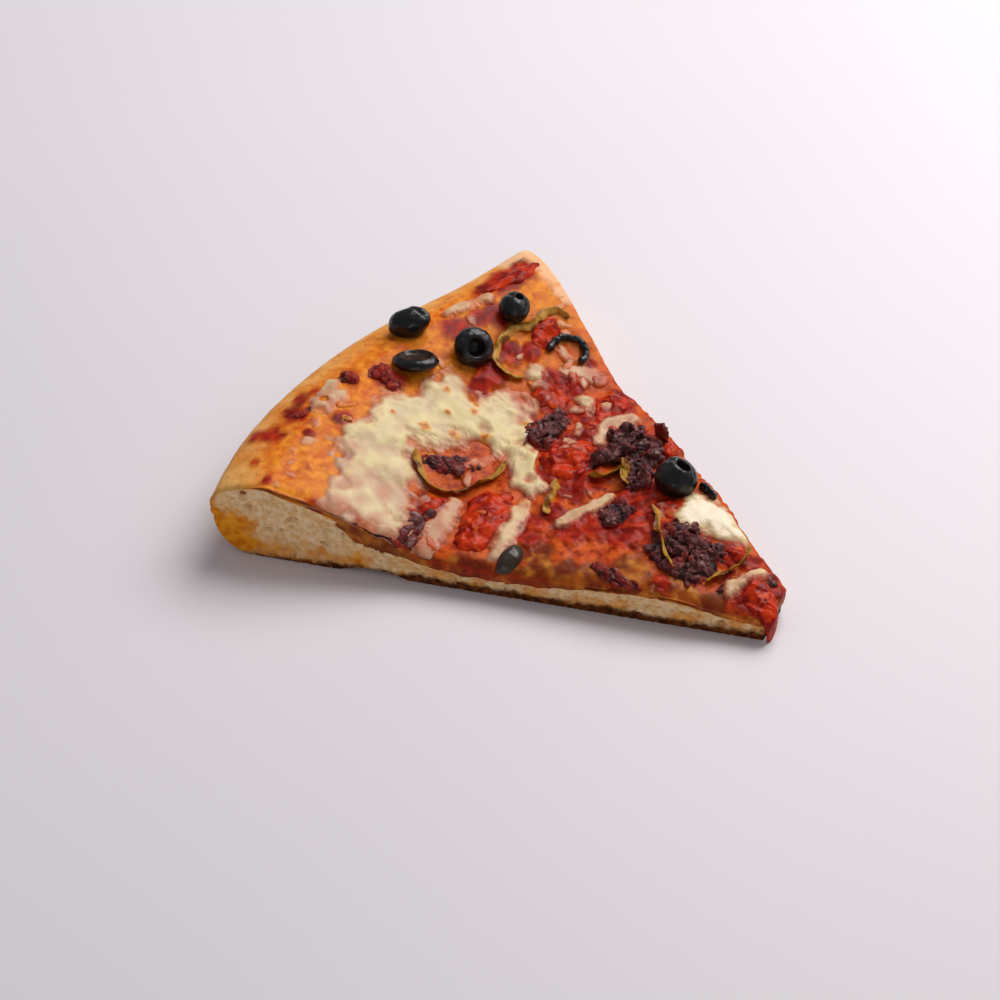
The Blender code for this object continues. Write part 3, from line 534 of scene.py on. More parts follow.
def topping_height(x, y, lumps):
    """Height of the sauce: the base with lumps of several sizes, larger where there is tomato, sinking at
    its end.
    """
    radius = full_radius(np.hypot(x, y), share_across(x, y))
    red = zone_mask(RED_ZONES, x, y)
    turned_x = x + 1.2 * noise(x, y, size=4.0, seed=14)
    turned_y = y + 1.2 * noise(x, y, size=4.0, seed=15)
    distance, _ = cells(turned_x, turned_y, 2.0, size=6.2, seed=5)
    pulp = np.clip(1 - (distance / 0.75) ** 2, -0.3, 1) * red
    folds = 0.5 - np.abs(noise(turned_x, turned_y, size=6.5, seed=16))
    fine = 0.6 * noise(x, y, size=9.0, seed=7) + 0.3 * noise(x, y, size=3.8, seed=8)
    fine = fine + 0.08 * noise(x, y, size=1.6, seed=9)
    calm = 1 - 0.75 * zone_mask(YELLOW_ZONES, x, y)
    on_rim = 1 - 0.7 * smooth_step(135, 160, radius)
    relief = lumps * (fine * calm + 1.1 * pulp + 0.9 * folds * red) * on_rim
    end = SAUCE_END + 2.0 * noise(x, y, size=9.0, seed=12)
    return base_height(x, y) + relief - 1.5 * smooth_step(end - 4, end + 3, radius)


def neighbours(heights):
    """The sum of the four neighbours of each cell of a map."""
    return sum(np.roll(heights, step, axis) for axis in (0, 1) for step in (-1, 1))


class Ground:
    """Height of the pieces laid so far above the sauce, on a square map."""

    low = np.array([-95.0, 0.0])
    cell = 0.5
    count = 400

    def __init__(self, lumps):
        self.lumps = lumps
        self.extra = np.zeros((self.count, self.count))
        steps = self.cell * np.arange(self.count)
        self.sauce = topping_height(self.low[0] + steps[:, None], self.low[1] + steps[None, :], lumps)

    def read(self, heights, x, y):
        """The value of a map at each place, read between its cells."""
        place = (np.stack([x, y], -1) - self.low) / self.cell
        cell = np.clip(np.floor(place).astype(int), 0, self.count - 2)
        part = np.clip(place - cell, 0, 1)
        column, row = cell[..., 0], cell[..., 1]
        east, north = part[..., 0], part[..., 1]
        south_side = heights[column, row] * (1 - east) + heights[column + 1, row] * east
        north_side = heights[column, row + 1] * (1 - east) + heights[column + 1, row + 1] * east
        return south_side * (1 - north) + north_side * north

    def under(self, x, y):
        """Height of what is below each place."""
        return topping_height(x, y, self.lumps) + self.read(self.extra, x, y)

    def evened(self, x, y, passes=36):
        """Height of what is below each place with its lumps evened out, as a melt lies over them."""
        heights = self.sauce + self.extra
        for _ in range(passes):
            heights = 0.2 * heights + 0.2 * neighbours(heights)
        return self.read(heights, x, y)

    def add(self, points, softening=3):
        """Raises the map to a new piece's upper side, with softened edges so that what is laid next drapes.
        Raises the map to a new piece's upper side, with softened edges so that what is laid next drapes.
        """
        above = np.clip(points[:, 2] - topping_height(points[:, 0], points[:, 1], self.lumps), 0, None)
        cell = np.rint((points[:, :2] - self.low) / self.cell).astype(int)
        raised = self.extra.copy()
        np.maximum.at(raised, (cell[:, 0], cell[:, 1]), above)
        for _ in range(softening):
            raised = 0.4 * raised + 0.15 * neighbours(raised)
        self.extra = np.maximum(self.extra, raised)


def grid_triangles(numbers):
    """Two triangles for each cell of a grid of point numbers."""
    a, b = numbers[:-1, :-1].ravel(), numbers[:-1, 1:].ravel()
    c, d = numbers[1:, 1:].ravel(), numbers[1:, :-1].ravel()
    return np.vstack([np.column_stack([a, b, c]), np.column_stack([a, c, d])])


def point_normals(points, triangles):
    """Each point's normal, as the mean of its triangles' normals weighted by their size."""
    corners = points[triangles]
    across = np.cross(corners[:, 1] - corners[:, 0], corners[:, 2] - corners[:, 0])
    total = np.zeros_like(points)
    for corner in range(3):
        np.add.at(total, triangles[:, corner], across)
    return total / np.maximum(np.linalg.norm(total, axis=1), 1e-12)[:, None]


def closed_slab(high, low, triangles, rim):
    """A closed solid between two like sheets, whose triangles face up, joined along the rim."""
    count = len(high)
    following = np.roll(rim, -1)
    sides = np.vstack([
        np.column_stack([rim + count, following + count, following]),
        np.column_stack([rim + count, following, rim]),
    ])
    return np.vstack([high, low]), np.vstack([triangles, triangles[:, ::-1] + count, sides])


def grid_rim(numbers):
    """The edge of a grid of point numbers, anticlockwise where its triangles face up."""
    return np.concatenate([numbers[0], numbers[1:, -1], numbers[-1, -2::-1], numbers[-2:0:-1, 0]])


def closed_tube(rings, first_end, last_end):
    """Points and triangles of a row of closed rings, joined up and closed by one point at each end."""
    count, sides = rings.shape[:2]
    numbers = np.arange(count * sides).reshape(count, sides)
    triangles = np.vstack([
        grid_triangles(np.hstack([numbers, numbers[:, :1]])),
        np.column_stack([np.roll(numbers[0], -1), numbers[0], np.full(sides, count * sides)]),
        np.column_stack([numbers[-1], np.roll(numbers[-1], -1), np.full(sides, count * sides + 1)]),
    ])
    return np.vstack([rings.reshape(-1, 3), first_end, last_end]), triangles


def patch_plan(outline, spokes, rings, reach=1.25):
    """Places inside a closed outline, on rings from beyond it to its middle, and each one's share of the
    way out.
    """
    rim = curve_through(outline, spokes, closed=True)
    following = np.roll(rim, -1, axis=0)
    if (rim[:, 0] * following[:, 1] - rim[:, 1] * following[:, 0]).sum() < 0:
        rim = rim[::-1]
    centre = rim.mean(axis=0)
    shares = np.linspace(reach, 0, rings + 1)[:-1]
    plan = np.vstack([(centre + shares[:, None, None] * (rim - centre)).reshape(-1, 2), centre])
    numbers = np.arange(rings * spokes).reshape(rings, spokes)
    wrapped = np.hstack([numbers, numbers[:, :1]])
    inner = numbers[-1]
    fan = np.column_stack([inner, np.roll(inner, -1), np.full(spokes, rings * spokes)])
    share = np.append(np.repeat(shares, spokes), 0.0)
    return plan, share, np.vstack([grid_triangles(wrapped), fan]), numbers[0]


def ruled_plan(left, right, across, reach=1.25):
    """Places on straight lines between two sides, and each one's share of the way out to a side or past an
    end.
    """
    middle, half = (left + right) / 2, (right - left) / 2
    travelled = np.append(0.0, np.cumsum(np.linalg.norm(np.diff(middle, axis=0), axis=1)))
    half_width = np.maximum(np.linalg.norm(half, axis=1), 1.0)
    from_end = np.minimum(travelled, travelled[-1] - travelled) / half_width
    end_share = np.clip(1.15 - from_end, 0, None)
    shares = np.linspace(-reach, reach, across + 1)
    plan = middle[:, None] + half[:, None] * shares[None, :, None]
    share = np.hypot(shares[None, :], end_share[:, None])
    numbers = np.arange(len(left) * (across + 1)).reshape(len(left), across + 1)
    return plan.reshape(-1, 2), share.ravel(), grid_triangles(numbers), grid_rim(numbers)


def strip_plan(line, half_widths, count, across):
    """A ruled plan on both sides of a middle line."""
    line = curve_through(line, count)
    half_width = spread(half_widths, count)
    along = np.gradient(line, axis=0)
    along /= np.linalg.norm(along, axis=1)[:, None]
    side = np.column_stack([along[:, 1], -along[:, 0]]) * half_width[:, None]
    return ruled_plan(line - side, line + side, across)


def keep_inside(plan, margin=0.25):
    """Squeezes places that lie outside the front cut, or the bulge over the back cut, to just inside them."""
    plan = plan.copy()
    for distance, angle, turn, bulge in (
        (from_front, FRONT_ANGLE, 1.0, 0.0), (from_back, BACK_ANGLE, -1.0, overhang(np.hypot(*plan.T))),
    ):
        past = distance(plan[:, 0], plan[:, 1]) - margin + bulge
        moved = (np.sqrt(past ** 2 + SQUEEZE ** 2) - past) / 2
        plan[:, 0] += turn * moved * math.cos(angle)
        plan[:, 1] += moved * math.sin(angle)
    return plan


def top_values(x, y):
    """The values that colour the baked top at each place, from 0 to 1: oil, sauce, red, yellow, and pale,
    which is painted light on the back-right corner of the crust.
    """
    radius = full_radius(np.hypot(x, y), share_across(x, y))
    ragged = 2.5 * noise(x, y, size=7.0, seed=21) + 1.2 * noise(x, y, size=2.5, seed=22)
    left_end = smooth_step(-0.72, -0.98, share_across(x, y))
    oil = 1 - smooth_step(172 - 6 * left_end, 184 - 8 * left_end, radius + ragged)
    sauce = 1 - smooth_step(124, 146, radius + 2.0 * ragged)
    return {
        "oil": oil, "sauce": sauce, "red": zone_mask(RED_ZONES, x, y),
        "yellow": zone_mask(YELLOW_ZONES, x, y, seed=51),
        "pale": 0.75 * zone_mask(LIT_CORNER_ZONES, x, y, seed=41),
    }


def add_mesh(name, points, triangles, materials, values, face_materials=None):
    """Puts a surface into the scene in metres, with its values on its points, shaded smooth."""
    mesh = bpy.data.meshes.new(name)
    mesh.from_pydata(((points - SLICE_ORIGIN) * MM).tolist(), [], triangles.tolist())
    for material in materials:
        mesh.materials.append(material)
    if face_materials is not None:
        mesh.polygons.foreach_set("material_index", face_materials.astype(np.int32))
    for value_name, value in values.items():
        attribute = mesh.attributes.new(value_name, "FLOAT", "POINT")
        attribute.data.foreach_set("value", np.ascontiguousarray(value, dtype=np.float32))
    mesh.shade_smooth()
    piece = bpy.data.objects.new(name, mesh)
    bpy.context.scene.collection.objects.link(piece)
    return piece


def dress(piece, slot, *nodes):
    """Lets a piece ride on the slice and stand for its solids; the slot is not used."""
    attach(piece, "root")
    if nodes:
        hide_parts(*nodes)


def add_topping(slot, name, material, points, triangles, values):
    """Adds one topping, which stands for the solid of its name."""
    piece = add_mesh(f"{name}_{TOPPING_KINDS[slot]}", points, triangles, (material,), values)
    dress(piece, slot, name)


def add_node(tree, kind, inputs=None, **settings):
    """Adds a shader node, sets its options, and sets or links its inputs."""
    node = tree.nodes.new(kind)
    for option, value in settings.items():
        setattr(node, option, value)
    for socket, value in (inputs or {}).items():
        if isinstance(value, bpy.types.NodeSocket):
            tree.links.new(value, node.inputs[socket])
        else:
            node.inputs[socket].default_value = value
    return node


def start_material(name, *value_names):
    """An empty material, its node tree, its Object coordinates and the mesh values that it reads."""
    material = bpy.data.materials.new(name)
    material.use_nodes = True
    tree = material.node_tree
    tree.nodes.clear()
    place = add_node(tree, "ShaderNodeTexCoord").outputs["Object"]
    return material, tree, place, *read_values(tree, *value_names)


def read_values(tree, *names):
    """The sockets of the values that a mesh carries on its points."""
    return [add_node(tree, "ShaderNodeAttribute", attribute_name=name).outputs["Fac"] for name in names]


def finish_material(tree, surface):
    """Gives the material its surface, from what the Principled shader is to be told."""
    shader = add_node(tree, "ShaderNodeBsdfPrincipled", surface)
    add_node(tree, "ShaderNodeOutputMaterial", {"Surface": shader.outputs[0]})


def blotches(tree, place, size, low=0.38, high=0.62, most=1.0, detail=2.0):
    """Patches of one real size in metres: noise stretched so that low gives 0 and high gives the most."""
    pattern = add_node(tree, "ShaderNodeTexNoise", {"Vector": place, "Scale": 1 / size, "Detail": detail})
    stretch = {"Value": pattern.outputs[0], "From Min": low, "From Max": high, "To Max": most}
    return add_node(tree, "ShaderNodeMapRange", stretch).outputs[0]


def paint(tree, colour, *coats):
    """Lays coats over a first colour, each as far as its mask says; a colour is a hex code, a property or a
    socket.
    """
    def ready(value):
        if isinstance(value, bpy.types.NodeSocket):
            return value
        return (*(linear(value) if isinstance(value, str) else value), 1.0)

    for mask, coat in coats:
        mixed = add_node(tree, "ShaderNodeMix", {
            MIX_FACTOR: mask, MIX_A: ready(colour), MIX_B: ready(coat),
        }, data_type="RGBA")
        colour = mixed.outputs[MIX_RESULT]
    return colour


def rough_up(tree, place, *grains):
    """Bumps of several real sizes in metres on top of each other, each with its own height."""
    normal = None
    for size, height in grains:
        pattern = add_node(tree, "ShaderNodeTexNoise", {"Vector": place, "Scale": 1 / size, "Detail": 3.0})
        inputs = {"Height": pattern.outputs[0], "Distance": height, "Strength": 1.0}
        if normal is not None:
            inputs["Normal"] = normal
        normal = add_node(tree, "ShaderNodeBump", inputs).outputs[0]
    return normal


def baked_top_colour(tree, place, colours):
    """Colour of the baked top: golden bread, stained by orange oil, paler on the back-right corner as painted
    light, under orange sauce, yellow melt and tomato red.
    """
    oiled, pale, sauced, yellowed, reddened = read_values(tree, "oil", "pale", "sauce", "yellow", "red")
    broad, fine = blotches(tree, place, 0.009), blotches(tree, place, 0.0022, 0.4, 0.6)
    small = blotches(tree, place, 0.0040, 0.42, 0.58)
    bread = paint(tree, "#E6AE62", (broad, colours.bread))
    oil = paint(
        tree, "#C65208", (broad, colours.oil), (blotches(tree, place, 0.0030, 0.40, 0.68, 0.75), "#F09A2C"),
        (blotches(tree, place, 0.0045, 0.55, 0.72, 0.75), "#A4340C"),
    )
    sauce = paint(tree, "#8A2408", (fine, colours.sauce), (small, "#C45214"))
    yellow = paint(
        tree, "#782A08", (broad, "#A65412"), (blotches(tree, place, 0.0045, 0.46, 0.70, 0.7), "#CE8A30"),
        (blotches(tree, place, 0.008, 0.46, 0.64, 0.85), "#5E1806"),
    )
    red = paint(
        tree, "#780F06", (small, colours.tomato), (blotches(tree, place, 0.0045, 0.5, 0.66, 0.7), "#C43C10"),
        (blotches(tree, place, 0.007, 0.56, 0.68, 0.7), "#4E0C06"),
    )
    speckle = blotches(tree, place, 0.0017, 0.66, 0.74, 0.4, 1.0)
    return paint(
        tree, bread, (oiled, oil), (pale, "#E8BC90"), (sauced, sauce), (yellowed, yellow), (reddened, red),
        (speckle, "#8A3410"),
    )


def oiled_topping(colours):
    """Tomato sauce baked under fat: the fat leaves it wet, so it is glossy with small sharp highlights."""
    material, tree, place = start_material("oiled_tomato_sauce")
    finish_material(tree, {
        "Base Color": baked_top_colour(tree, place, colours),
        "Normal": rough_up(tree, place, (0.0045, 0.0004), (0.0014, 0.00015)),
        "Roughness": add_node(tree, "ShaderNodeMapRange", {
            "Value": blotches(tree, place, 0.003, 0.3, 0.7), "To Min": 0.35, "To Max": 0.6,
        }).outputs[0],
        "IOR": 1.45, "Specular IOR Level": 0.1, "Coat Weight": 0.06, "Coat Roughness": 0.05,
        "Subsurface Weight": 0.15, "Subsurface Radius": (1.0, 0.25, 0.05), "Subsurface Scale": 0.002,
    })
    return material


def crust_skin(colours):
    """Bread crust from a hot oven: dry and matt where it is golden, darker where fat has soaked in."""
    material, tree, place, toast_and_bottom_shade = start_material("baked_bread_crust", "toast_and_bottom_shade")
    # Along the bottom the skin is coloured dark brown: a toasted underside, and painted shade near the floor.
    brown = paint(tree, "#7A4A20", (blotches(tree, place, 0.005, 0.35, 0.65, 1.0, 4.0), "#B9803C"))
    finish_material(tree, {
        "Base Color": paint(tree, baked_top_colour(tree, place, colours), (toast_and_bottom_shade, brown)), "Roughness": 0.5,
        "Normal": rough_up(tree, place, (0.006, 0.0004), (0.0012, 0.00015)),
        "IOR": 1.45, "Specular IOR Level": 0.1,
        "Subsurface Weight": 0.10, "Subsurface Radius": (1.0, 0.5, 0.25), "Subsurface Scale": 0.002,
    })
    return material


def open_crumb(colours):
    """Torn bread: pale walls round bubbles of every size, coloured darker inside as painted shade, and golden
    along the underside, darkened there by toasting and by painted shade.
    """
    material, tree, place, painted_pore_shade, toast_and_bottom_shade, stain = start_material("torn_bread_crumb", "painted_pore_shade", "toast_and_bottom_shade", "stain")
    colour = paint(
        tree, colours.crumb, (blotches(tree, place, 0.006), "#D8AC74"),
        (blotches(tree, place, 0.0018, 0.4, 0.6, 0.6), "#EFD8B2"),
        # The small dark dots and the pore value are painted shade in the holes of the crumb.
        (blotches(tree, place, 0.0011, 0.62, 0.72, 0.2, 1.0), "#A06C3C"), (painted_pore_shade, "#A87848"),
        (stain, paint(tree, "#D0740A", (blotches(tree, place, 0.003), "#E89A22"))),
        # Along the bottom the crumb is coloured nearly black-brown: toasting, and painted shade near the
        # floor.
        (toast_and_bottom_shade, paint(tree, "#3A1A08", (blotches(tree, place, 0.002), "#703610"))),
    )
    holes = add_node(tree, "ShaderNodeTexVoronoi", {"Vector": place, "Scale": 1 / 0.0011}).outputs["Distance"]
    finish_material(tree, {
        "Base Color": colour, "Roughness": 0.85, "IOR": 1.4, "Specular IOR Level": 0.15,
        "Normal": add_node(tree, "ShaderNodeBump", {
            "Height": holes, "Distance": 0.0004, "Strength": 0.7,
            "Normal": rough_up(tree, place, (0.0008, 0.0003)),
        }).outputs[0],
        "Subsurface Weight": 0.3, "Subsurface Radius": (1.0, 0.7, 0.4), "Subsurface Scale": 0.002,
    })
    return material


def melted_cheese(colours):
    """Mozzarella melted and set again: cream where thick, pink and clear where thin over sauce, with a
    fatty sheen.
    """
    material, tree, place, melt, toast_and_bottom_shade, blush = start_material("melted_mozzarella", "melt", "toast_and_bottom_shade", "blush")
    patches = blotches(tree, place, 0.005)
    thin = paint(tree, "#B4684C", (patches, "#C48E74"))
    yellowish = blotches(tree, place, 0.012, 0.5, 0.7, 0.6)
    thick = paint(tree, "#CCB68E", (patches, colours.cheese), (yellowish, "#DDCB8C"))

    def rising(value, low, high):
        stretch = {"Value": value, "From Min": low, "From Max": high}
        return add_node(tree, "ShaderNodeMapRange", stretch).outputs[0]

    colour = paint(
        tree, baked_top_colour(tree, place, colours),
        # Melt above 1 is painted light: it whitens the point patch, whose melt goes to 1.6, where the window
        # light falls.
        (rising(melt, 0.0, 0.5), thin), (rising(melt, 0.3, 0.95), thick), (rising(melt, 1.0, 1.3), "#EEDCC2"),
        (blush, paint(tree, "#BC7C5C", (patches, "#B8957C"))),
        # On the cheese this value marks browned spots only.
        (rising(toast_and_bottom_shade, 0.05, 0.6), "#D89A44"), (rising(toast_and_bottom_shade, 0.6, 1.0), "#B2642A"),
    )
    finish_material(tree, {
        "Base Color": colour, "Roughness": 0.4,
        "Normal": rough_up(tree, place, (0.005, 0.0002), (0.0014, 0.00006)),
        "IOR": 1.45, "Specular IOR Level": 0.2, "Coat Weight": 0.1, "Coat Roughness": 0.12,
        "Subsurface Weight": 0.4, "Subsurface Radius": (1.0, 0.6, 0.3), "Subsurface Scale": 0.003,
    })
    return material


def cooked_tomato(colours):
    """Tomato cooked until its skin wrinkles: wet, clear at the edges, so it glows orange-red where it is
    thin.
    """
    material, tree, place = start_material("cooked_tomato")
    colour = paint(
        tree, "#7A0C04", (blotches(tree, place, 0.0025), colours.tomato),
        (blotches(tree, place, 0.005, 0.42, 0.62, 0.85), "#C63408"),
        (blotches(tree, place, 0.003, 0.58, 0.7, 0.5), "#DC5A16"),
    )
    finish_material(tree, {
        "Base Color": colour, "Roughness": 0.4,
        "Normal": rough_up(tree, place, (0.0035, 0.0005), (0.0012, 0.00015)),
        "IOR": 1.42, "Specular IOR Level": 0.08, "Coat Weight": 0.14, "Coat Roughness": 0.04,
        "Subsurface Weight": 0.25, "Subsurface Radius": (1.0, 0.2, 0.08), "Subsurface Scale": 0.003,
    })
    return material


def cured_meat(colours):
    """Chopped cured pork fried dry: crumbly, dark purple-brown, with dots of fat; painted shade colours it
    almost black between its crumbs.
    """
    material, tree, place, painted_crevice_shade, ruddy, fat = start_material(MEAT_MATERIAL, "painted_crevice_shade", "ruddy", "fat")
    colour = paint(
        tree, colours.meat, (blotches(tree, place, 0.0026), "#704040"),
        (blotches(tree, place, 0.0045, 0.5, 0.66), "#421A1C"),
        (ruddy, paint(tree, "#7C1A12", (blotches(tree, place, 0.002), "#9A2A1A"))),
        # The last coat is painted shade, almost black, in the hollows between the crumbs.
        (fat, "#967470"), (painted_crevice_shade, "#200809"),
    )
    finish_material(tree, {
        "Base Color": colour, "Roughness": 0.5,
        "Normal": rough_up(tree, place, (0.002, 0.0004), (0.0007, 0.0002)),
        "IOR": 1.45, "Specular IOR Level": 0.18, "Coat Weight": 0.06, "Coat Roughness": 0.15,
    })
    return material


def cooked_pepper(colours):
    """Thin pepper cooked limp: clear yellow-green flesh with a darker skin and browned edges."""
    material, tree, place, side = start_material("cooked_green_pepper", "side")
    colour = paint(
        tree, "#B88838", (side, paint(tree, colours.pepper, (blotches(tree, place, 0.004), "#8A6018"))),
        (blotches(tree, place, 0.005, 0.52, 0.64), "#6A3A10"),
    )
    finish_material(tree, {
        "Base Color": colour, "Roughness": 0.35, "Normal": rough_up(tree, place, (0.0012, 0.0002)),
        "IOR": 1.4, "Specular IOR Level": 0.2, "Coat Weight": 0.15, "Coat Roughness": 0.08,
        "Subsurface Weight": 0.4, "Subsurface Radius": (1.0, 0.8, 0.3), "Subsurface Scale": 0.0015,
    })
    return material


def black_olive(colours):
    """Ripe black olive: a tight, wet, nearly black skin that shows the lights sharply, dull brown where it
    is cut, and dark again deep in the stone's hole as painted shade.
    """
    material, tree, place, cut = start_material("black_olive_skin", "cut")
    worn = blotches(tree, place, 0.004, 0.45, 0.7)
    finish_material(tree, {
        "Base Color": paint(tree, colours.olive, (worn, "#1D1A1E"), (cut, "#34261E")),
        "Roughness": 0.3, "Normal": rough_up(tree, place, (0.0030, 0.0003), (0.0008, 0.00008)),
        "IOR": 1.45, "Specular IOR Level": 0.3, "Coat Weight": 0.22, "Coat Roughness": 0.08,
    })
    return material


def box_sheets(lattice):
    """The closed skin of a block of points, as one set of triangles for each side, facing outwards."""
    number = np.arange(lattice[..., 0].size).reshape(lattice.shape[:3])
    return [grid_triangles(sheet) for sheet in (
        number[:, :, -1], number[:, ::-1, 0], number[0].T, number[-1][::-1].T,
        number[:, 0, :], number[:, -1, ::-1],
    )]


def crumb_holes(along, height, seed):
    """How deep the torn crumb goes at each place of a cut: flattened bubbles of three sizes, and roughness.
    How deep the torn crumb goes at each place of a cut: flattened bubbles of three sizes, and roughness.
    """
    total = 0.3 * noise(along, height, size=1.0, seed=seed)
    total = total + 0.6 * noise(along, height, size=7.0, seed=seed + 1)
    for number, (size, depth, crowd) in enumerate(((7.5, 1.5, 0.30), (2.6, 0.8, 0.42), (1.3, 0.55, 0.45))):
        distance, _ = cells(along, height * 1.5, 0.5, size=size, seed=seed + 2 + number)
        total = total + depth * np.clip(1 - (distance / crowd) ** 2, 0, 1)
    return total


def bread_lattice(depth):
    """The bread as a block of points, its two cuts pushed in by the torn crumb, and how deep each point
    went.
    """
    rows, columns, layers = 400, 52, 56
    radius, x, y, share = slice_plan(rows, columns, 0.4, WALL_RADIUS)
    full = full_radius(radius, share)
    top = base_height(x, y) - 1.1 * (1 - smooth_step(160, 172, full))
    over = np.clip((full - FOOT_RADIUS) / (CRUST_RADIUS - FOOT_RADIUS), 0, 1)
    arch = ARCH_RISE * np.clip(1 - ((radius - ARCH_MIDDLE) / ARCH_HALF_LENGTH) ** 2, 0, 1)
    arch = arch * smooth_step(0.8, 1.0, -share)
    chips = noise(radius, 0.0, size=3.0, seed=66) + noise(radius, 0.0, size=1.2, seed=67)
    chipped = 0.5 * np.clip(chips, 0, 1) * smooth_step(0.9, 1.0, np.abs(share))
    bottom = SIDE_HEIGHT * (1 - np.sqrt(1 - over ** 2)) + arch + chipped
    level = np.linspace(0, 1, layers + 1)
    height = bottom[..., None] + (top - bottom)[..., None] * level
    lattice = np.stack(np.broadcast_arrays(x[..., None], y[..., None], height), -1)
    wall = lattice[-1, :, 1:-1]
    above = np.clip((wall[..., 2] - SIDE_HEIGHT) / (CREST_HEIGHT - SIDE_HEIGHT), 0, 1)
    below = np.clip((SIDE_HEIGHT - wall[..., 2]) / SIDE_HEIGHT, 0, 1)
    upper = CREST_RADIUS + (CRUST_RADIUS - CREST_RADIUS) * np.sqrt(1 - above ** 2)
    lower = FOOT_RADIUS + (CRUST_RADIUS - FOOT_RADIUS) * np.sqrt(1 - below ** 2)
    reach = np.where(wall[..., 2] > SIDE_HEIGHT, upper, lower) - through(CRUST_PULLS, share[-1])[:, None]
    reach = reach - 0.5 * np.abs(noise(*np.moveaxis(wall, -1, 0), size=5.0, seed=68))
    lattice[-1, :, 1:-1, :2] *= (reach / np.hypot(wall[..., 0], wall[..., 1]))[..., None]
    sunk = np.zeros(lattice.shape[:3])
    inner = np.sin(np.pi * np.clip(level, 0, 1)) ** 0.35
    for column, turn, angle, seed in ((0, 1.0, FRONT_ANGLE, 61), (-1, -1.0, BACK_ANGLE, 71)):
        face = lattice[:, column]
        holes = crumb_holes(np.hypot(face[..., 0], face[..., 1]), face[..., 2], seed) * inner
        sunk[:, column] = holes
        push = depth * np.clip(holes, -0.2, 2.2)
        lattice[:, column, :, 0] += turn * push * math.cos(angle)
        lattice[:, column, :, 1] += push * math.sin(angle)
    lattice[0, :, :, 1] += 0.35 * noise(lattice[0, :, :, 0], lattice[0, :, :, 2], size=2.0, seed=81)
    return lattice, sunk


def build_bread(sizes, colours):
    """Makes the bread: golden skin over the rim and underneath, torn crumb on both cuts and at the point."""
    lattice, sunk = bread_lattice(sizes.crumb_depth / MM)
    sheets = box_sheets(lattice)
    triangles = np.vstack(sheets)
    kinds = np.concatenate([np.full(len(sheet), kind) for sheet, kind in zip(sheets, (0, 0, 1, 0, 1, 1))])
    used, renumbered = np.unique(triangles, return_inverse=True)
    points = lattice.reshape(-1, 3)[used]
    x, y, z = points.T
    radius = np.hypot(x, y)
    full = full_radius(radius, share_across(x, y))
    values = top_values(x, y)
    top = base_height(x, y)
    ragged = 0.6 * noise(x, y, z, size=3.0, seed=91) + 0.3 * noise(x, y, z, size=1.1, seed=92)
    # The lowest few millimetres are marked dark: a toasted underside, and painted shade where the slice meets
    # the floor.
    low = 1 - smooth_step(1.7, 4.0, z + 1.6 * ragged + np.clip((full - 140) * 0.06, 0, 2))
    rim_lift = 8 * (1 - smooth_step(168, 182, full))
    values["oil"] = values["oil"] * smooth_step(14, 21, z + 3 * ragged + rim_lift)
    soaked = 0.55 * smooth_step(0.25, 0.75, noise(x, y, z, size=9.0, seed=95) + 0.2)
    values["oil"] = np.maximum(values["oil"], soaked * smooth_step(0.9, 0.3, share_across(x, y)))
    values["toast_and_bottom_shade"] = np.clip(low, 0, 1)
    # The painted light on the back-right corner is kept to the upper part of the bread.
    values["pale"] = values["pale"] * smooth_step(4, 12, z)
    # Painted shade: the deeper a hole of the torn crumb, the darker it is coloured.
    values["painted_pore_shade"] = np.clip(0.6 * sunk.reshape(-1)[used] - 0.3, 0, 1)
    end_stain = smooth_step(9.5, 3.0, np.hypot((full - 180) * 0.8, (z - 9) * 0.8) + 4 * ragged)
    patchy = noise(full, z, size=8.0, seed=97) + 0.4 * noise(full, z, size=3.0, seed=98)
    middle_stain = 0.75 * smooth_step(-0.1, 0.4, patchy) * smooth_step(118, 132, full)
    middle_stain = middle_stain * smooth_step(172, 160, full) * smooth_step(12, 6, z)
    bottom_patches = smooth_step(-0.2, 0.4, noise(full, z, size=7.0, seed=99) + smooth_step(150, 172, full))
    low_stain = 0.7 * smooth_step(5.0, 1.5, np.abs(z - 3.0 - ragged)) * bottom_patches
    near_top = 0.9 * smooth_step(2.2, 0.4, top - z + 1.6 * ragged) * smooth_step(168, 150, full)
    skin_edge = smooth_step(3.0, 0.4, CRUST_RADIUS - full - 0.2 * np.abs(z - SIDE_HEIGHT) + ragged)
    values["stain"] = np.clip(end_stain + middle_stain + low_stain + near_top + skin_edge, 0, 1)
    materials = (crust_skin(colours), open_crumb(colours))
    piece = add_mesh("bread", points, renumbered.reshape(-1, 3), materials, values, kinds)
    dress(piece, "dough", "dough")


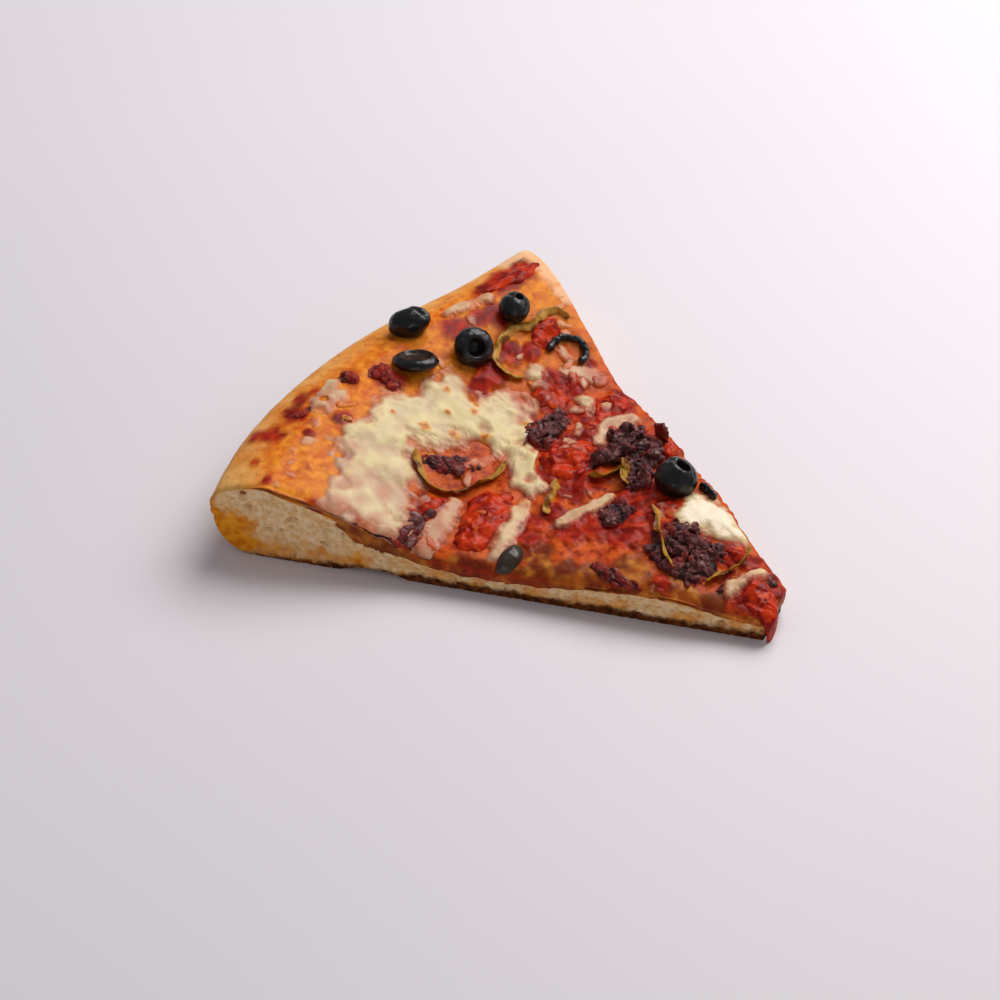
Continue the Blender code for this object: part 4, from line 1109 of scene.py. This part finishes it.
def sauce_grid(lumps):
    """The sauce as a grid of points, whose outer rows and columns bulge and hang down over the point and
    the cuts.
    """
    rows, columns, tip, front, back = 240, 160, 12, 12, 8
    radius, x, y, _ = slice_plan(rows, columns, 0.1, SAUCE_END + 3.0)
    z = topping_height(x, y, lumps)
    row, column = np.arange(-tip, rows + 1), np.arange(-front, columns + back + 1)
    inner = np.ix_(np.clip(row, 0, rows), np.clip(column, 0, columns))
    radius, x, y, z = radius[inner], x[inner], y[inner], z[inner]
    past = np.stack(np.broadcast_arrays(
        np.clip(-row / tip, 0, 1)[:, None],
        np.clip(-column / front, 0, 1),
        np.clip((column - columns) / back, 0, 1),
    ))
    progress = past.max(axis=0)
    over_tip, over_front, over_back = past / np.maximum(past.sum(axis=0), 1e-9)
    wave = 0.8 * noise(x, y, size=5.0, seed=101) + 0.4 * noise(x, y, size=1.8, seed=102)
    low = over_tip * (2.4 + 2.0 * wave) + over_front * np.minimum(through(FRONT_LIP, radius) + wave, z - 0.5)
    low = low + over_back * (z - 1.6 - np.clip(wave, -0.8, 1) - 0.8 * smooth_step(60, 20, radius))
    proud = (0.75 + over_back * overhang(radius)) * np.sin(np.pi * np.clip(progress, 0, 0.92)) ** 0.6
    proud = proud * (1 - 0.7 * smooth_step(132, 150, radius)) - 0.5 * smooth_step(0.75, 1.0, progress)
    proud = proud - 1.8 * over_front * smooth_step(142, 154, radius) * smooth_step(0.0, 0.5, progress)
    z = np.where(progress > 0, z + (low - z) * progress ** 1.3, z)
    proud = proud * (1 + 0.35 * noise(radius, z, size=2.5, seed=103))
    outward_x = over_back * math.cos(BACK_ANGLE) - over_front * math.cos(FRONT_ANGLE)
    outward_y = -over_back * math.sin(BACK_ANGLE) - over_front * math.sin(FRONT_ANGLE) - over_tip
    return np.stack([x + proud * outward_x, y + proud * outward_y, z], -1)


def build_sauce(sizes, colours):
    """Makes the sauce: a lumpy skin over the bed and the rim, which runs over the point and the front cut."""
    grid = sauce_grid(sizes.sauce_lumps / MM)
    numbers = np.arange(grid[..., 0].size).reshape(grid.shape[:2])
    high = grid.reshape(-1, 3)
    triangles = grid_triangles(numbers)
    low = high - SAUCE_THICKNESS * point_normals(high, triangles)
    points, faces = closed_slab(high, low, triangles, grid_rim(numbers))
    x, y = points[:, :2].T
    values = top_values(x, y)
    radius = np.hypot(x, y)
    over_front = smooth_step(1.0, 0.2, from_front(x, y))
    over_edge = np.maximum(over_front, smooth_step(POINT_CUT + 1.2, POINT_CUT, y))
    # Over the front cut between radius 76 and 124 the lip is dark red: red sauce, whose darkness there is
    # partly painted shade.
    dark_lip = over_edge * smooth_step(76, 84, radius) * smooth_step(124, 112, radius)
    # Elsewhere over the edge the lip is yellow: golden melt along the front cut, and over the point painted
    # light, which makes the shaded end face a brighter orange.
    bright_lip = over_edge * (1 - dark_lip)
    values["yellow"] = np.clip(values["yellow"] + bright_lip, 0, 1)
    values["red"] = np.clip(values["red"] * (1 - bright_lip) + 0.45 * dark_lip, 0, 1)
    piece = add_mesh("sauce_layer", points, faces, (oiled_topping(colours),), values)
    dress(piece, "sauce", "sauce")


def lay_slab(ground, high, below, triangles, rim):
    """Closes a topping's upper side over what is below it, and raises the ground where it stands out."""
    ground.add(high[high[:, 2] > below])
    return closed_slab(high, np.column_stack([high[:, :2], below - BURIED]), triangles, rim)


def spot_values(spots, x, y):
    """A soft spot at each listed place, from 0 to 1."""
    total = np.zeros(np.shape(x))
    for across, along, radius in spots:
        turned = 0.6 * (x - across) + 0.8 * (y - along)
        distance = np.hypot(x - across, y - along) / radius + 0.25 * np.abs(turned) / radius
        distance = distance + 0.45 * noise(x, y, size=1.6, seed=111) + 0.3 * noise(x, y, size=0.7, seed=112)
        total = np.maximum(total, smooth_step(1.2, 0.2, distance))
    return total


def lay_cheese(ground, plan, share, triangles, rim, height, seed, torn=1.0, cream=1.0):
    """A melt on what is below: thick inside, thinning to nothing at a ragged edge; also its colour values."""
    plan = keep_inside(plan)
    x, y = plan.T
    tears = 0.26 * noise(x, y, size=6.5, seed=seed) + 0.14 * noise(x, y, size=2.8, seed=seed + 1)
    ragged = share + torn * (tears + 0.06 * noise(x, y, size=1.0, seed=seed + 2))
    swell = 0.85 + 0.30 * noise(x, y, size=9.0, seed=seed + 3) + 0.14 * noise(x, y, size=3.5, seed=seed + 7)
    flow = 1 - 0.35 * smooth_step(-15, -45, x)
    thickness = height * flow * smooth_step(1.08, 0.30, ragged) * swell
    for across, along, radius, depth in THIN_SPOTS:
        distance = np.hypot(x - across, y - along) / radius + 0.35 * noise(x, y, size=3.0, seed=seed + 4)
        thickness = thickness - 1.2 * depth * smooth_step(1.2, 0.2, distance)
    spots = spot_values(TOASTED_SPOTS, x, y)
    below = ground.under(x, y)
    filled = (ground.evened(x, y) - below) * smooth_step(1.12, 0.7, ragged)
    sinking = 0.1 + 0.6 * smooth_step(0.85, 1.15, ragged)
    thickness = np.clip(filled + thickness - sinking + 0.2 * spots, DEEPEST_EDGE, None)
    points, faces = lay_slab(ground, np.column_stack([x, y, below + thickness]), below, triangles, rim)
    values = top_values(*points[:, :2].T)
    # On the point patch, a cream of 1.6 pushes the melt past full and drops the blush: painted light.
    values["melt"] = np.tile(cream * np.clip(thickness / (1.6 * flow), 0, 1), 2)
    values["toast_and_bottom_shade"] = np.tile(spots, 2)
    blush = 0.35 * smooth_step(0.15, 0.6, noise(x, y, size=7.0, seed=seed + 5))
    left = smooth_step(-20, -46, x) * smooth_step(-0.5, 0.3, noise(x, y, size=6.0, seed=seed + 6))
    values["blush"] = np.tile(np.clip(blush + 0.75 * left, 0, 0.85) * (cream <= 1), 2)
    return points, faces, values


def build_cheese(ground, sizes, colours):
    """Makes the main melt, the strips and the patches of cheese, and the small bits on the crust."""
    material = melted_cheese(colours)
    height = sizes.cheese_height / MM
    plan = ruled_plan(curve_through(MAIN_CHEESE_INNER, 330), curve_through(MAIN_CHEESE_OUTER, 330), 84)
    points, faces, values = lay_cheese(ground, *plan, height, 121)
    add_topping("cheese", "cheese_main", material, points, faces, values)
    for number, (name, (outline, patch_height)) in enumerate(CHEESE_PATCHES.items()):
        # The point patch gets a cream of 1.6 as painted light, to look whiter where the window light falls.
        cream = 1.6 if name == "cheese_point_patch" else 0.85
        plan, seed = patch_plan(outline, 110, 34), 140 + 10 * number
        points, faces, values = lay_cheese(ground, *plan, patch_height, seed, torn=1.3, cream=cream)
        add_topping("cheese", name, material, points, faces, values)
    for number, (name, (*line, half_width, strip_height)) in enumerate(CHEESE_STRIPS.items()):
        plan = strip_plan(line, (0.8 * half_width, half_width, half_width, 0.8 * half_width), 130, 34)
        seed = 200 + 10 * number
        points, faces, values = lay_cheese(ground, *plan, strip_height, seed, torn=1.6, cream=0.75)
        add_topping("cheese", name, material, points, faces, values)
    bits = [lay_bit(ground, *bit, 300 + number) for number, bit in enumerate(CHEESE_BITS)]
    counts = np.cumsum([0] + [len(points) for points, _, _ in bits])
    points = np.vstack([bit[0] for bit in bits])
    faces = np.vstack([bit[1] + start for bit, start in zip(bits, counts)])
    values = {name: np.concatenate([bit[2][name] for bit in bits]) for name in bits[0][2]}
    dress(add_mesh("cheese_bits", points, faces, (material,), values), "cheese")


def lay_bit(ground, across, along, radius, seed):
    """One small shred of melted cheese: a long round with a wavy edge, turned its own way."""
    turn = np.linspace(0, 2 * math.pi, 9, endpoint=False)
    reach = radius * (1 + 0.4 * noise(np.cos(turn), np.sin(turn), float(seed), size=0.8, seed=seed))
    long, short = 1.35 * reach * np.cos(turn), 0.70 * reach * np.sin(turn)
    cosine, sine = math.cos(BIT_TURN * seed), math.sin(BIT_TURN * seed)
    outline = np.column_stack([across + long * cosine - short * sine, along + long * sine + short * cosine])
    return lay_cheese(ground, *patch_plan(outline, 40, 14), 0.08 * radius + 0.35, seed, torn=2.6, cream=1.3)


def build_tomato(ground, colours):
    """Makes the pieces of cooked tomato, and the one that hangs over the point."""
    material = cooked_tomato(colours)
    for number, (name, (outline, height)) in enumerate(TOMATOES.items()):
        seed = 400 + 10 * number
        plan, share, triangles, rim = patch_plan(outline, 120, 44)
        plan = keep_inside(plan)
        x, y = plan.T
        ragged = share + 0.18 * noise(x, y, size=5.0, seed=seed) + 0.10 * noise(x, y, size=1.8, seed=seed + 1)
        dome = np.sign(1 - ragged) * np.abs(1 - np.clip(ragged, 0, 2) ** 2) ** 0.6
        folds = 0.8 - 0.8 * np.abs(noise(x, y, size=6.0, seed=seed + 2))
        folds = folds + 0.14 * noise(x, y, size=2.4, seed=seed + 3)
        thickness = np.clip(height * dome * (0.35 + 0.8 * folds) - 0.1, DEEPEST_EDGE, None)
        below = ground.under(x, y)
        points, faces = lay_slab(ground, np.column_stack([x, y, below + thickness]), below, triangles, rim)
        add_topping("tomato", name, material, points, faces, {})
    points, faces = drape_surface(ground)
    add_topping("tomato", "tomato_drape", material, points, faces, {})


def drape_surface(ground):
    """Tomato that lies on the sauce at the point and hangs down the cut face, as one bent sheet."""
    count, across = 90, 60
    brink = float(ground.under(np.array([DRAPE_LINE[-2][0]]), np.array([POINT_CUT + 0.8]))[0])
    line = curve_through(DRAPE_LINE, count)
    half_width = spread(DRAPE_HALF_WIDTHS, count)
    shares = np.linspace(-1, 1, across + 1)
    y = np.repeat(line[:, 1:2], across + 1, axis=1)
    x = line[:, :1] + half_width[:, None] * shares
    x = x + 0.5 * noise(y, line[:, 2:] + 0 * x, size=3.0, seed=501) * np.abs(shares)
    on_top = ground.under(x, np.maximum(y, POINT_CUT + 0.4))
    hanging = smooth_step(POINT_CUT + 1.2, POINT_CUT - 0.4, y)
    z = (on_top + 0.2) * (1 - hanging) + (brink + line[:, 2:]) * hanging
    slope = np.gradient(line[:, 1:], axis=0)
    slope /= np.linalg.norm(slope, axis=1)[:, None]
    outward = np.column_stack([np.zeros(count), slope[:, 1], -slope[:, 0]])
    progress = np.linspace(0, 1, count)[:, None]
    body = np.clip(1 - shares[None, :] ** 2, 0, 1) ** 0.5 * np.clip(np.sin(np.pi * progress), 0, 1) ** 0.4
    lumps = 1 + 0.35 * noise(x, y, z, size=2.6, seed=502) + 0.2 * noise(x, y, z, size=1.1, seed=503)
    thickness = 1.25 * body * lumps
    inner = np.stack([x, y, z], -1)
    outer = inner + outward[:, None, :] * thickness[..., None]
    outer[..., 1] = np.maximum(outer[..., 1], POINT_CUT - DRAPE_REACH)
    inner = inner - outward[:, None, :] * 0.5
    outer[..., 2] = np.maximum(outer[..., 2], 0.4)
    inner[..., 2] = np.maximum(inner[..., 2], 0.3)
    numbers = np.arange(count * (across + 1)).reshape(count, across + 1)[:, ::-1]
    return closed_slab(outer.reshape(-1, 3), inner.reshape(-1, 3), grid_triangles(numbers), grid_rim(numbers))


def build_meat(ground, sizes, colours, names):
    """Makes pieces of crumbled cured meat: a dome on what is below, pushed out into folds and crumbs."""
    material = bpy.data.materials.get(MEAT_MATERIAL) or cured_meat(colours)
    granule = sizes.meat_granules / MM
    for name in names:
        outline, height = MEATS[name]
        seed = 600 + 10 * list(MEATS).index(name)
        large = height > 3
        spokes, rings = (210, 90) if large else (120, 44)
        plan, share, triangles, rim = patch_plan(outline, spokes, rings, reach=1.3)
        plan = keep_inside(plan)
        x, y = plan.T
        ragged = share + 0.18 * noise(x, y, size=5.0, seed=seed) + 0.14 * noise(x, y, size=2.0, seed=seed + 1)
        dome = np.sign(1 - ragged) * np.abs(1 - np.clip(ragged, 0, 2) ** 2.4) ** 0.55
        swell = 0.72 + 0.55 * noise(x, y, size=4.5, seed=seed + 2)
        thickness = np.clip(height * dome * swell, DEEPEST_EDGE, None)
        below = ground.under(x, y)
        high = np.column_stack([x, y, below + thickness])
        normals = point_normals(high, triangles)
        bent = high + 1.4 * shift_by_noise(high, 4.0, seed + 5)
        _, own = cells(*bent.T, size=granule, seed=seed + 3)
        _, fine_own = cells(*bent.T, size=0.35 * granule, seed=seed + 4)
        folds = np.abs(noise(*bent.T, size=6.2, seed=seed + 8))
        grains = np.abs(noise(*bent.T, size=2.8, seed=seed + 9))
        finest = np.abs(noise(*bent.T, size=1.1, seed=seed + 7))
        crumbs = 1.6 * folds + 0.7 * grains - 0.35 * finest - 0.40
        fade = smooth_step(-0.3, 0.5, thickness) * (0.45 + 0.55 * smooth_step(1.0, 3.5, height))
        high = high + normals * (granule * 0.65 * crumbs * fade)[:, None]
        high[:, :2] = keep_inside(high[:, :2], 0.1)
        high[:, 2] = np.maximum(high[:, 2], below - 0.8)
        ground.add(high[thickness > 0])
        points, faces = closed_slab(high, np.column_stack([x, y, below - BURIED]), triangles, rim)
        # Painted shade: the deepest folds and grains are coloured almost black, where shade falls between the
        # crumbs.
        painted_crevice_shade = 0.9 * smooth_step(0.16, 0.0, folds) + 0.5 * smooth_step(0.10, 0, grains)
        ruddy = 0.6 * smooth_step(0.1, 0.8, own) + (0.7 if name in RUDDY_MEATS else 0.0)
        ruddy = ruddy + smooth_step(0.8, 0.1, thickness)
        values = {
            "painted_crevice_shade": np.tile(np.clip(painted_crevice_shade, 0, 1), 2), "ruddy": np.tile(np.clip(ruddy, 0, 1), 2),
            "fat": np.tile(0.8 * smooth_step(0.8, 0.98, fine_own), 2),
        }
        add_topping("meat", name, material, points, faces, values)


def tube_surface(line, half_width, half_height, roll, sides=20):
    """A flattened, rolled tube along a line, its ends rounded and closed; also each point's turn round the
    line.
    """
    along = np.gradient(line, axis=0)
    along /= np.linalg.norm(along, axis=1)[:, None]
    level = np.cross(along, (0.0, 0.0, 1.0))
    level /= np.linalg.norm(level, axis=1)[:, None]
    side = level * np.cos(roll)[:, None] + np.cross(level, along) * np.sin(roll)[:, None]
    upward = np.cross(side, along)
    turn = np.linspace(0, 2 * math.pi, sides, endpoint=False)
    progress = np.linspace(0, 1, len(line))
    taper = np.sqrt(np.clip(1 - np.clip(1 - np.minimum(progress, 1 - progress) / 0.06, 0, 1) ** 2, 0.01, 1))
    wide = (half_width * taper)[:, None, None] * side[:, None] * np.cos(turn)[None, :, None]
    tall = (half_height * taper)[:, None, None] * upward[:, None] * np.sin(turn)[None, :, None]
    facing = np.append(np.tile(np.cos(turn), len(line)), (0.0, 0.0))
    return *closed_tube(line[:, None] + wide + tall, line[0], line[-1]), facing


def lay_ribbon(ground, line, half_width, half_height, seed, rise=0.0, roll=0.0):
    """A wavy flattened tube of changing width laid along a line on what is below, rolled more or less on
    its side.
    """
    count = 26 * len(line)
    plan = curve_through(line, count)
    place = np.arange(count) * 0.25
    plan = plan + 0.35 * np.column_stack([noise(place, lane, size=3.0, seed=seed) for lane in (0.0, 5.0)])
    plan = keep_inside(plan, half_width + 0.1)
    height = ground.under(*plan.T)
    for _ in range(6):
        height = np.maximum(height, np.convolve(np.pad(height, 4, mode="edge"), np.ones(9) / 9, mode="valid"))
    lift = 0.5 * half_height + rise + 0.3 * noise(place, 9.0, size=4.0, seed=seed)
    width = half_width * (1 + 0.35 * noise(place, 13.0, size=5.0, seed=seed))
    tall = half_height * (1 + 0.3 * noise(place, 17.0, size=3.0, seed=seed))
    rolls = roll * (1 + 0.8 * noise(place, 21.0, size=6.0, seed=seed))
    points, faces, facing = tube_surface(np.column_stack([plan, height + lift]), width, tall, rolls)
    points = points + 0.16 * shift_by_noise(points, 1.4, seed + 1)
    ground.add(points[points[:, 2] > np.min(height)], softening=1)
    return points, faces, facing


def build_pepper(ground, colours):
    """Makes the curls and shreds of pepper."""
    material = cooked_pepper(colours)
    for number, (name, ribbon) in enumerate(PEPPERS.items()):
        points, faces, facing = lay_ribbon(ground, *ribbon, 800 + 10 * number, rise=0.55, roll=0.9)
        add_topping("pepper", name, material, points, faces, {"side": smooth_step(0.1, 0.8, facing)})


def olive_profile(half_width, half_length, hole, depth, count=72):
    """(radius, height) round an olive from its closed end to its other end, or over a rounded mouth into
    its hole.
    """
    if not hole:
        turn = np.linspace(-0.5 * math.pi, 0.5 * math.pi, count)
        return np.column_stack([half_width * np.cos(turn), half_length * np.sin(turn)]), np.zeros(count)
    mouth = math.acos(hole / half_width)
    turn = np.linspace(-0.5 * math.pi, mouth - 0.12, 2 * count // 3)
    outside = np.column_stack([half_width * np.cos(turn), half_length * np.sin(turn)])
    top = outside[-1, 1]
    wall = (
        outside[-1], (hole, top + 0.15), (0.88 * hole, top - 0.5), (0.84 * hole, top - 0.6 * depth),
        (0.6 * hole, top - 0.95 * depth), (0.0, top - depth),
    )
    inside = curve_through(wall, count // 3 + 1)[1:]
    deep = np.linspace(0, 1, len(inside))
    # Painted shade: the cut flesh turns paler past the mouth and dark again deep in the hole.
    cut_and_hole_shade = smooth_step(0.0, 0.35, deep) * (1 - 0.7 * smooth_step(0.5, 0.9, deep))
    return np.vstack([outside, inside]), np.append(np.zeros(len(outside)), cut_and_hole_shade)


def olive_surface(name):
    """An olive turned about its axis, dented and creased, then put where its solid is."""
    axis, half_width, half_length, hole, depth, crease = OLIVES[name]
    profile, cut = olive_profile(half_width, half_length, hole, depth)
    spokes = 96
    angle = np.linspace(0, 2 * math.pi, spokes, endpoint=False)
    radius, height = profile[1:-1, :1], profile[1:-1, 1:]
    rings = np.stack(np.broadcast_arrays(radius * np.cos(angle), radius * np.sin(angle), height), -1)
    points, faces = closed_tube(rings, (0, 0, profile[0, 1]), (0, 0, profile[-1, 1]))
    seed = 900 + list(OLIVES).index(name)
    dents = 0.08 * noise(*points.T, size=5.0, seed=seed) + 0.03 * noise(*points.T, size=1.8, seed=seed + 1)
    valley = np.exp(-((points[:, 0] + 0.25 * points[:, 2]) / 1.3) ** 2) * smooth_step(-1.0, 2.5, points[:, 1])
    points = points * (1 + dents - crease / half_width * valley)[:, None]
    turn = Vector((0, 0, 1)).rotation_difference(Vector(axis)).to_matrix()
    points = points @ np.array(turn).T
    low, high = (np.array(corner) / MM + SLICE_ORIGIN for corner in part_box(name))
    scale = min(1.0, np.min((high - low)[:2] / np.ptp(points[:, :2], axis=0)))
    points = points * scale
    centre = (points.max(axis=0) + points.min(axis=0)) / 2
    points[:, :2] += (low + high)[:2] / 2 - centre[:2]
    points[:, 2] += high[2] - points[:, 2].max() - 0.25
    return points, faces, np.concatenate([np.repeat(cut[1:-1], spokes), cut[:1], cut[-1:]])


def build_olives(ground, colours):
    """Makes the olives: whole ones with their stone's hole, slices, arcs and a chunk."""
    material = black_olive(colours)
    for name in OLIVES:
        points, faces, cut = olive_surface(name)
        add_topping("olive", name, material, points, faces, {"cut": cut})
    for number, (name, ribbon) in enumerate(OLIVE_RIBBONS.items()):
        points, faces, facing = lay_ribbon(ground, *ribbon, 950 + 10 * number)
        add_topping("olive", name, material, points, faces, {"cut": 0.4 * smooth_step(0.2, 0.9, -facing)})
    plan, share, triangles, rim = patch_plan(OLIVE_CHUNK, 90, 30, reach=1.1)
    plan = keep_inside(plan)
    x, y = plan.T
    dome = np.sign(1 - share) * np.abs(1 - share ** 2.6) ** 0.5
    below = ground.under(x, y)
    high = np.column_stack([x, y, below + 2.6 * dome * (0.9 + 0.2 * noise(x, y, size=4.0, seed=990))])
    points, faces = closed_slab(high, np.column_stack([x, y, below - 1.6]), triangles, rim)
    add_topping("olive", "olive_front", material, points, faces, {"cut": np.ones(len(points))})


def build_meat_curl(ground, colours):
    """Makes the thin curl of meat that stands up at the back cut."""
    points, faces, facing = lay_ribbon(ground, MEAT_CURL_LINE, 0.75, 2.6, 680, rise=0.8)
    points = points + 0.35 * shift_by_noise(points, 1.1, 685)
    # The curl is darkened evenly by a little painted shade.
    values = {
        "painted_crevice_shade": np.full(len(points), 0.15), "ruddy": smooth_step(-0.5, 0.8, facing),
        "fat": np.zeros(len(points)),
    }
    material = bpy.data.materials.get(MEAT_MATERIAL) or cured_meat(colours)
    add_topping("meat", "meat_curl", material, points, faces, values)


def build_stage(sizes, colours):
    """Makes the pale floor, the soft studio light and the camera."""
    half = sizes.floor_width / 2
    corners = [(-half, -half, 0), (half, -half, 0), (half, half, 0), (-half, half, 0)]
    mesh = bpy.data.meshes.new("studio_floor")
    mesh.from_pydata(corners, [], [(0, 1, 2, 3)])
    material, tree, place = start_material("matt_studio_board")
    colour = paint(tree, colours.floor, (blotches(tree, place, 0.4, 0.3, 0.7), "#DDD8DC"))
    finish_material(tree, {"Base Color": colour, "Roughness": 0.7, "Specular IOR Level": 0.3})
    mesh.materials.append(material)
    floor = bpy.data.objects.new("studio_floor", mesh)
    bpy.context.scene.collection.objects.link(floor)

    world = bpy.data.worlds.new("studio_air")
    world.use_nodes = True
    background = world.node_tree.nodes["Background"]
    background.inputs["Color"].default_value = (0.92, 0.93, 1.0, 1.0)
    background.inputs["Strength"].default_value = 0.29
    bpy.context.scene.world = world

    middle = Vector((0.0, 0.0, 0.01))
    for name, place, width, power, colour in (
        ("window_light", (0.68, 0.02, 0.88), 0.8, 12.2, (1.0, 0.97, 0.95)),
        ("side_light", (0.42, -0.22, 0.42), 0.3, 0.8, (1.0, 0.96, 0.94)),
        ("front_light", (-0.85, -0.50, 0.20), 0.6, 1.3, (1.0, 0.94, 0.86)),
    ):
        light = bpy.data.lights.new(name, "AREA")
        light.size = width
        light.energy = power
        light.color = colour
        lamp = bpy.data.objects.new(name, light)
        lamp.location = place
        lamp.rotation_euler = (middle - Vector(place)).to_track_quat("-Z", "Y").to_euler()
        bpy.context.scene.collection.objects.link(lamp)

    data = bpy.data.cameras.new("camera")
    data.lens = CAMERA_LENS
    data.clip_start = 0.05
    data.clip_end = 20.0
    camera = bpy.data.objects.new("camera", data)
    back = Vector((
        math.sin(CAMERA_AZIMUTH) * math.cos(CAMERA_ELEVATION),
        -math.cos(CAMERA_AZIMUTH) * math.cos(CAMERA_ELEVATION),
        math.sin(CAMERA_ELEVATION),
    ))
    camera.location = (Vector(CAMERA_TARGET) - Vector(SLICE_ORIGIN) + back * CAMERA_DISTANCE) * MM
    camera.rotation_euler = (-back).to_track_quat("-Z", "Y").to_euler()
    bpy.context.scene.collection.objects.link(camera)
    bpy.context.scene.camera = camera
    bpy.context.scene.view_settings.view_transform = "Standard"


class PIZZA_OT_bread(bpy.types.Operator):
    """Make the bread with its rim, crumb and browned underside"""

    bl_idname = "pizza.bread"
    bl_label = "Bread"

    def execute(self, context):
        build_bread(context.scene.pizza_sizes, context.scene.pizza_colours)
        return {"FINISHED"}


class PIZZA_OT_sauce(bpy.types.Operator):
    """Make the sauce that covers the bread"""

    bl_idname = "pizza.sauce"
    bl_label = "Sauce"

    def execute(self, context):
        build_sauce(context.scene.pizza_sizes, context.scene.pizza_colours)
        return {"FINISHED"}


class PIZZA_OT_toppings(bpy.types.Operator):
    """Lay the meat, tomato, cheese, pepper and olives, each on what was laid before"""

    bl_idname = "pizza.toppings"
    bl_label = "Toppings"

    def execute(self, context):
        sizes, colours = context.scene.pizza_sizes, context.scene.pizza_colours
        ground = Ground(sizes.sauce_lumps / MM)
        build_meat(ground, sizes, colours, LOW_MEATS)
        build_tomato(ground, colours)
        build_cheese(ground, sizes, colours)
        build_meat(ground, sizes, colours, [name for name in MEATS if name not in LOW_MEATS])
        build_meat_curl(ground, colours)
        build_pepper(ground, colours)
        build_olives(ground, colours)
        return {"FINISHED"}


class PIZZA_OT_stage(bpy.types.Operator):
    """Make the floor, the lights and the camera"""

    bl_idname = "pizza.stage"
    bl_label = "Studio"

    def execute(self, context):
        build_stage(context.scene.pizza_sizes, context.scene.pizza_colours)
        return {"FINISHED"}


class PIZZA_PT_panel(bpy.types.Panel):
    """Lists the pieces of the slice"""

    bl_idname = "PIZZA_PT_panel"
    bl_label = "Pizza Slice"
    bl_space_type = "VIEW_3D"
    bl_region_type = "UI"
    bl_category = "Pizza"

    def draw(self, context):
        for operator in OPERATORS:
            self.layout.operator(operator.bl_idname)
        for group in (context.scene.pizza_sizes, context.scene.pizza_colours):
            for name in group.__annotations__:
                self.layout.prop(group, name)


OPERATORS = (PIZZA_OT_bread, PIZZA_OT_sauce, PIZZA_OT_toppings, PIZZA_OT_stage)
CLASSES = (PizzaSizes, PizzaColours, *OPERATORS, PIZZA_PT_panel)


def register():
    """Registers the classes and puts the settings on the scene."""
    for kind in CLASSES:
        bpy.utils.register_class(kind)
    bpy.types.Scene.pizza_sizes = PointerProperty(type=PizzaSizes)
    bpy.types.Scene.pizza_colours = PointerProperty(type=PizzaColours)


def unregister():
    """Takes the settings and the classes away again."""
    del bpy.types.Scene.pizza_sizes
    del bpy.types.Scene.pizza_colours
    for kind in reversed(CLASSES):
        bpy.utils.unregister_class(kind)


def main():
    """Makes every piece in order."""
    register()
    bpy.ops.pizza.bread()
    bpy.ops.pizza.sauce()
    bpy.ops.pizza.toppings()
    bpy.ops.pizza.stage()


if __name__ == "__main__":
    main()
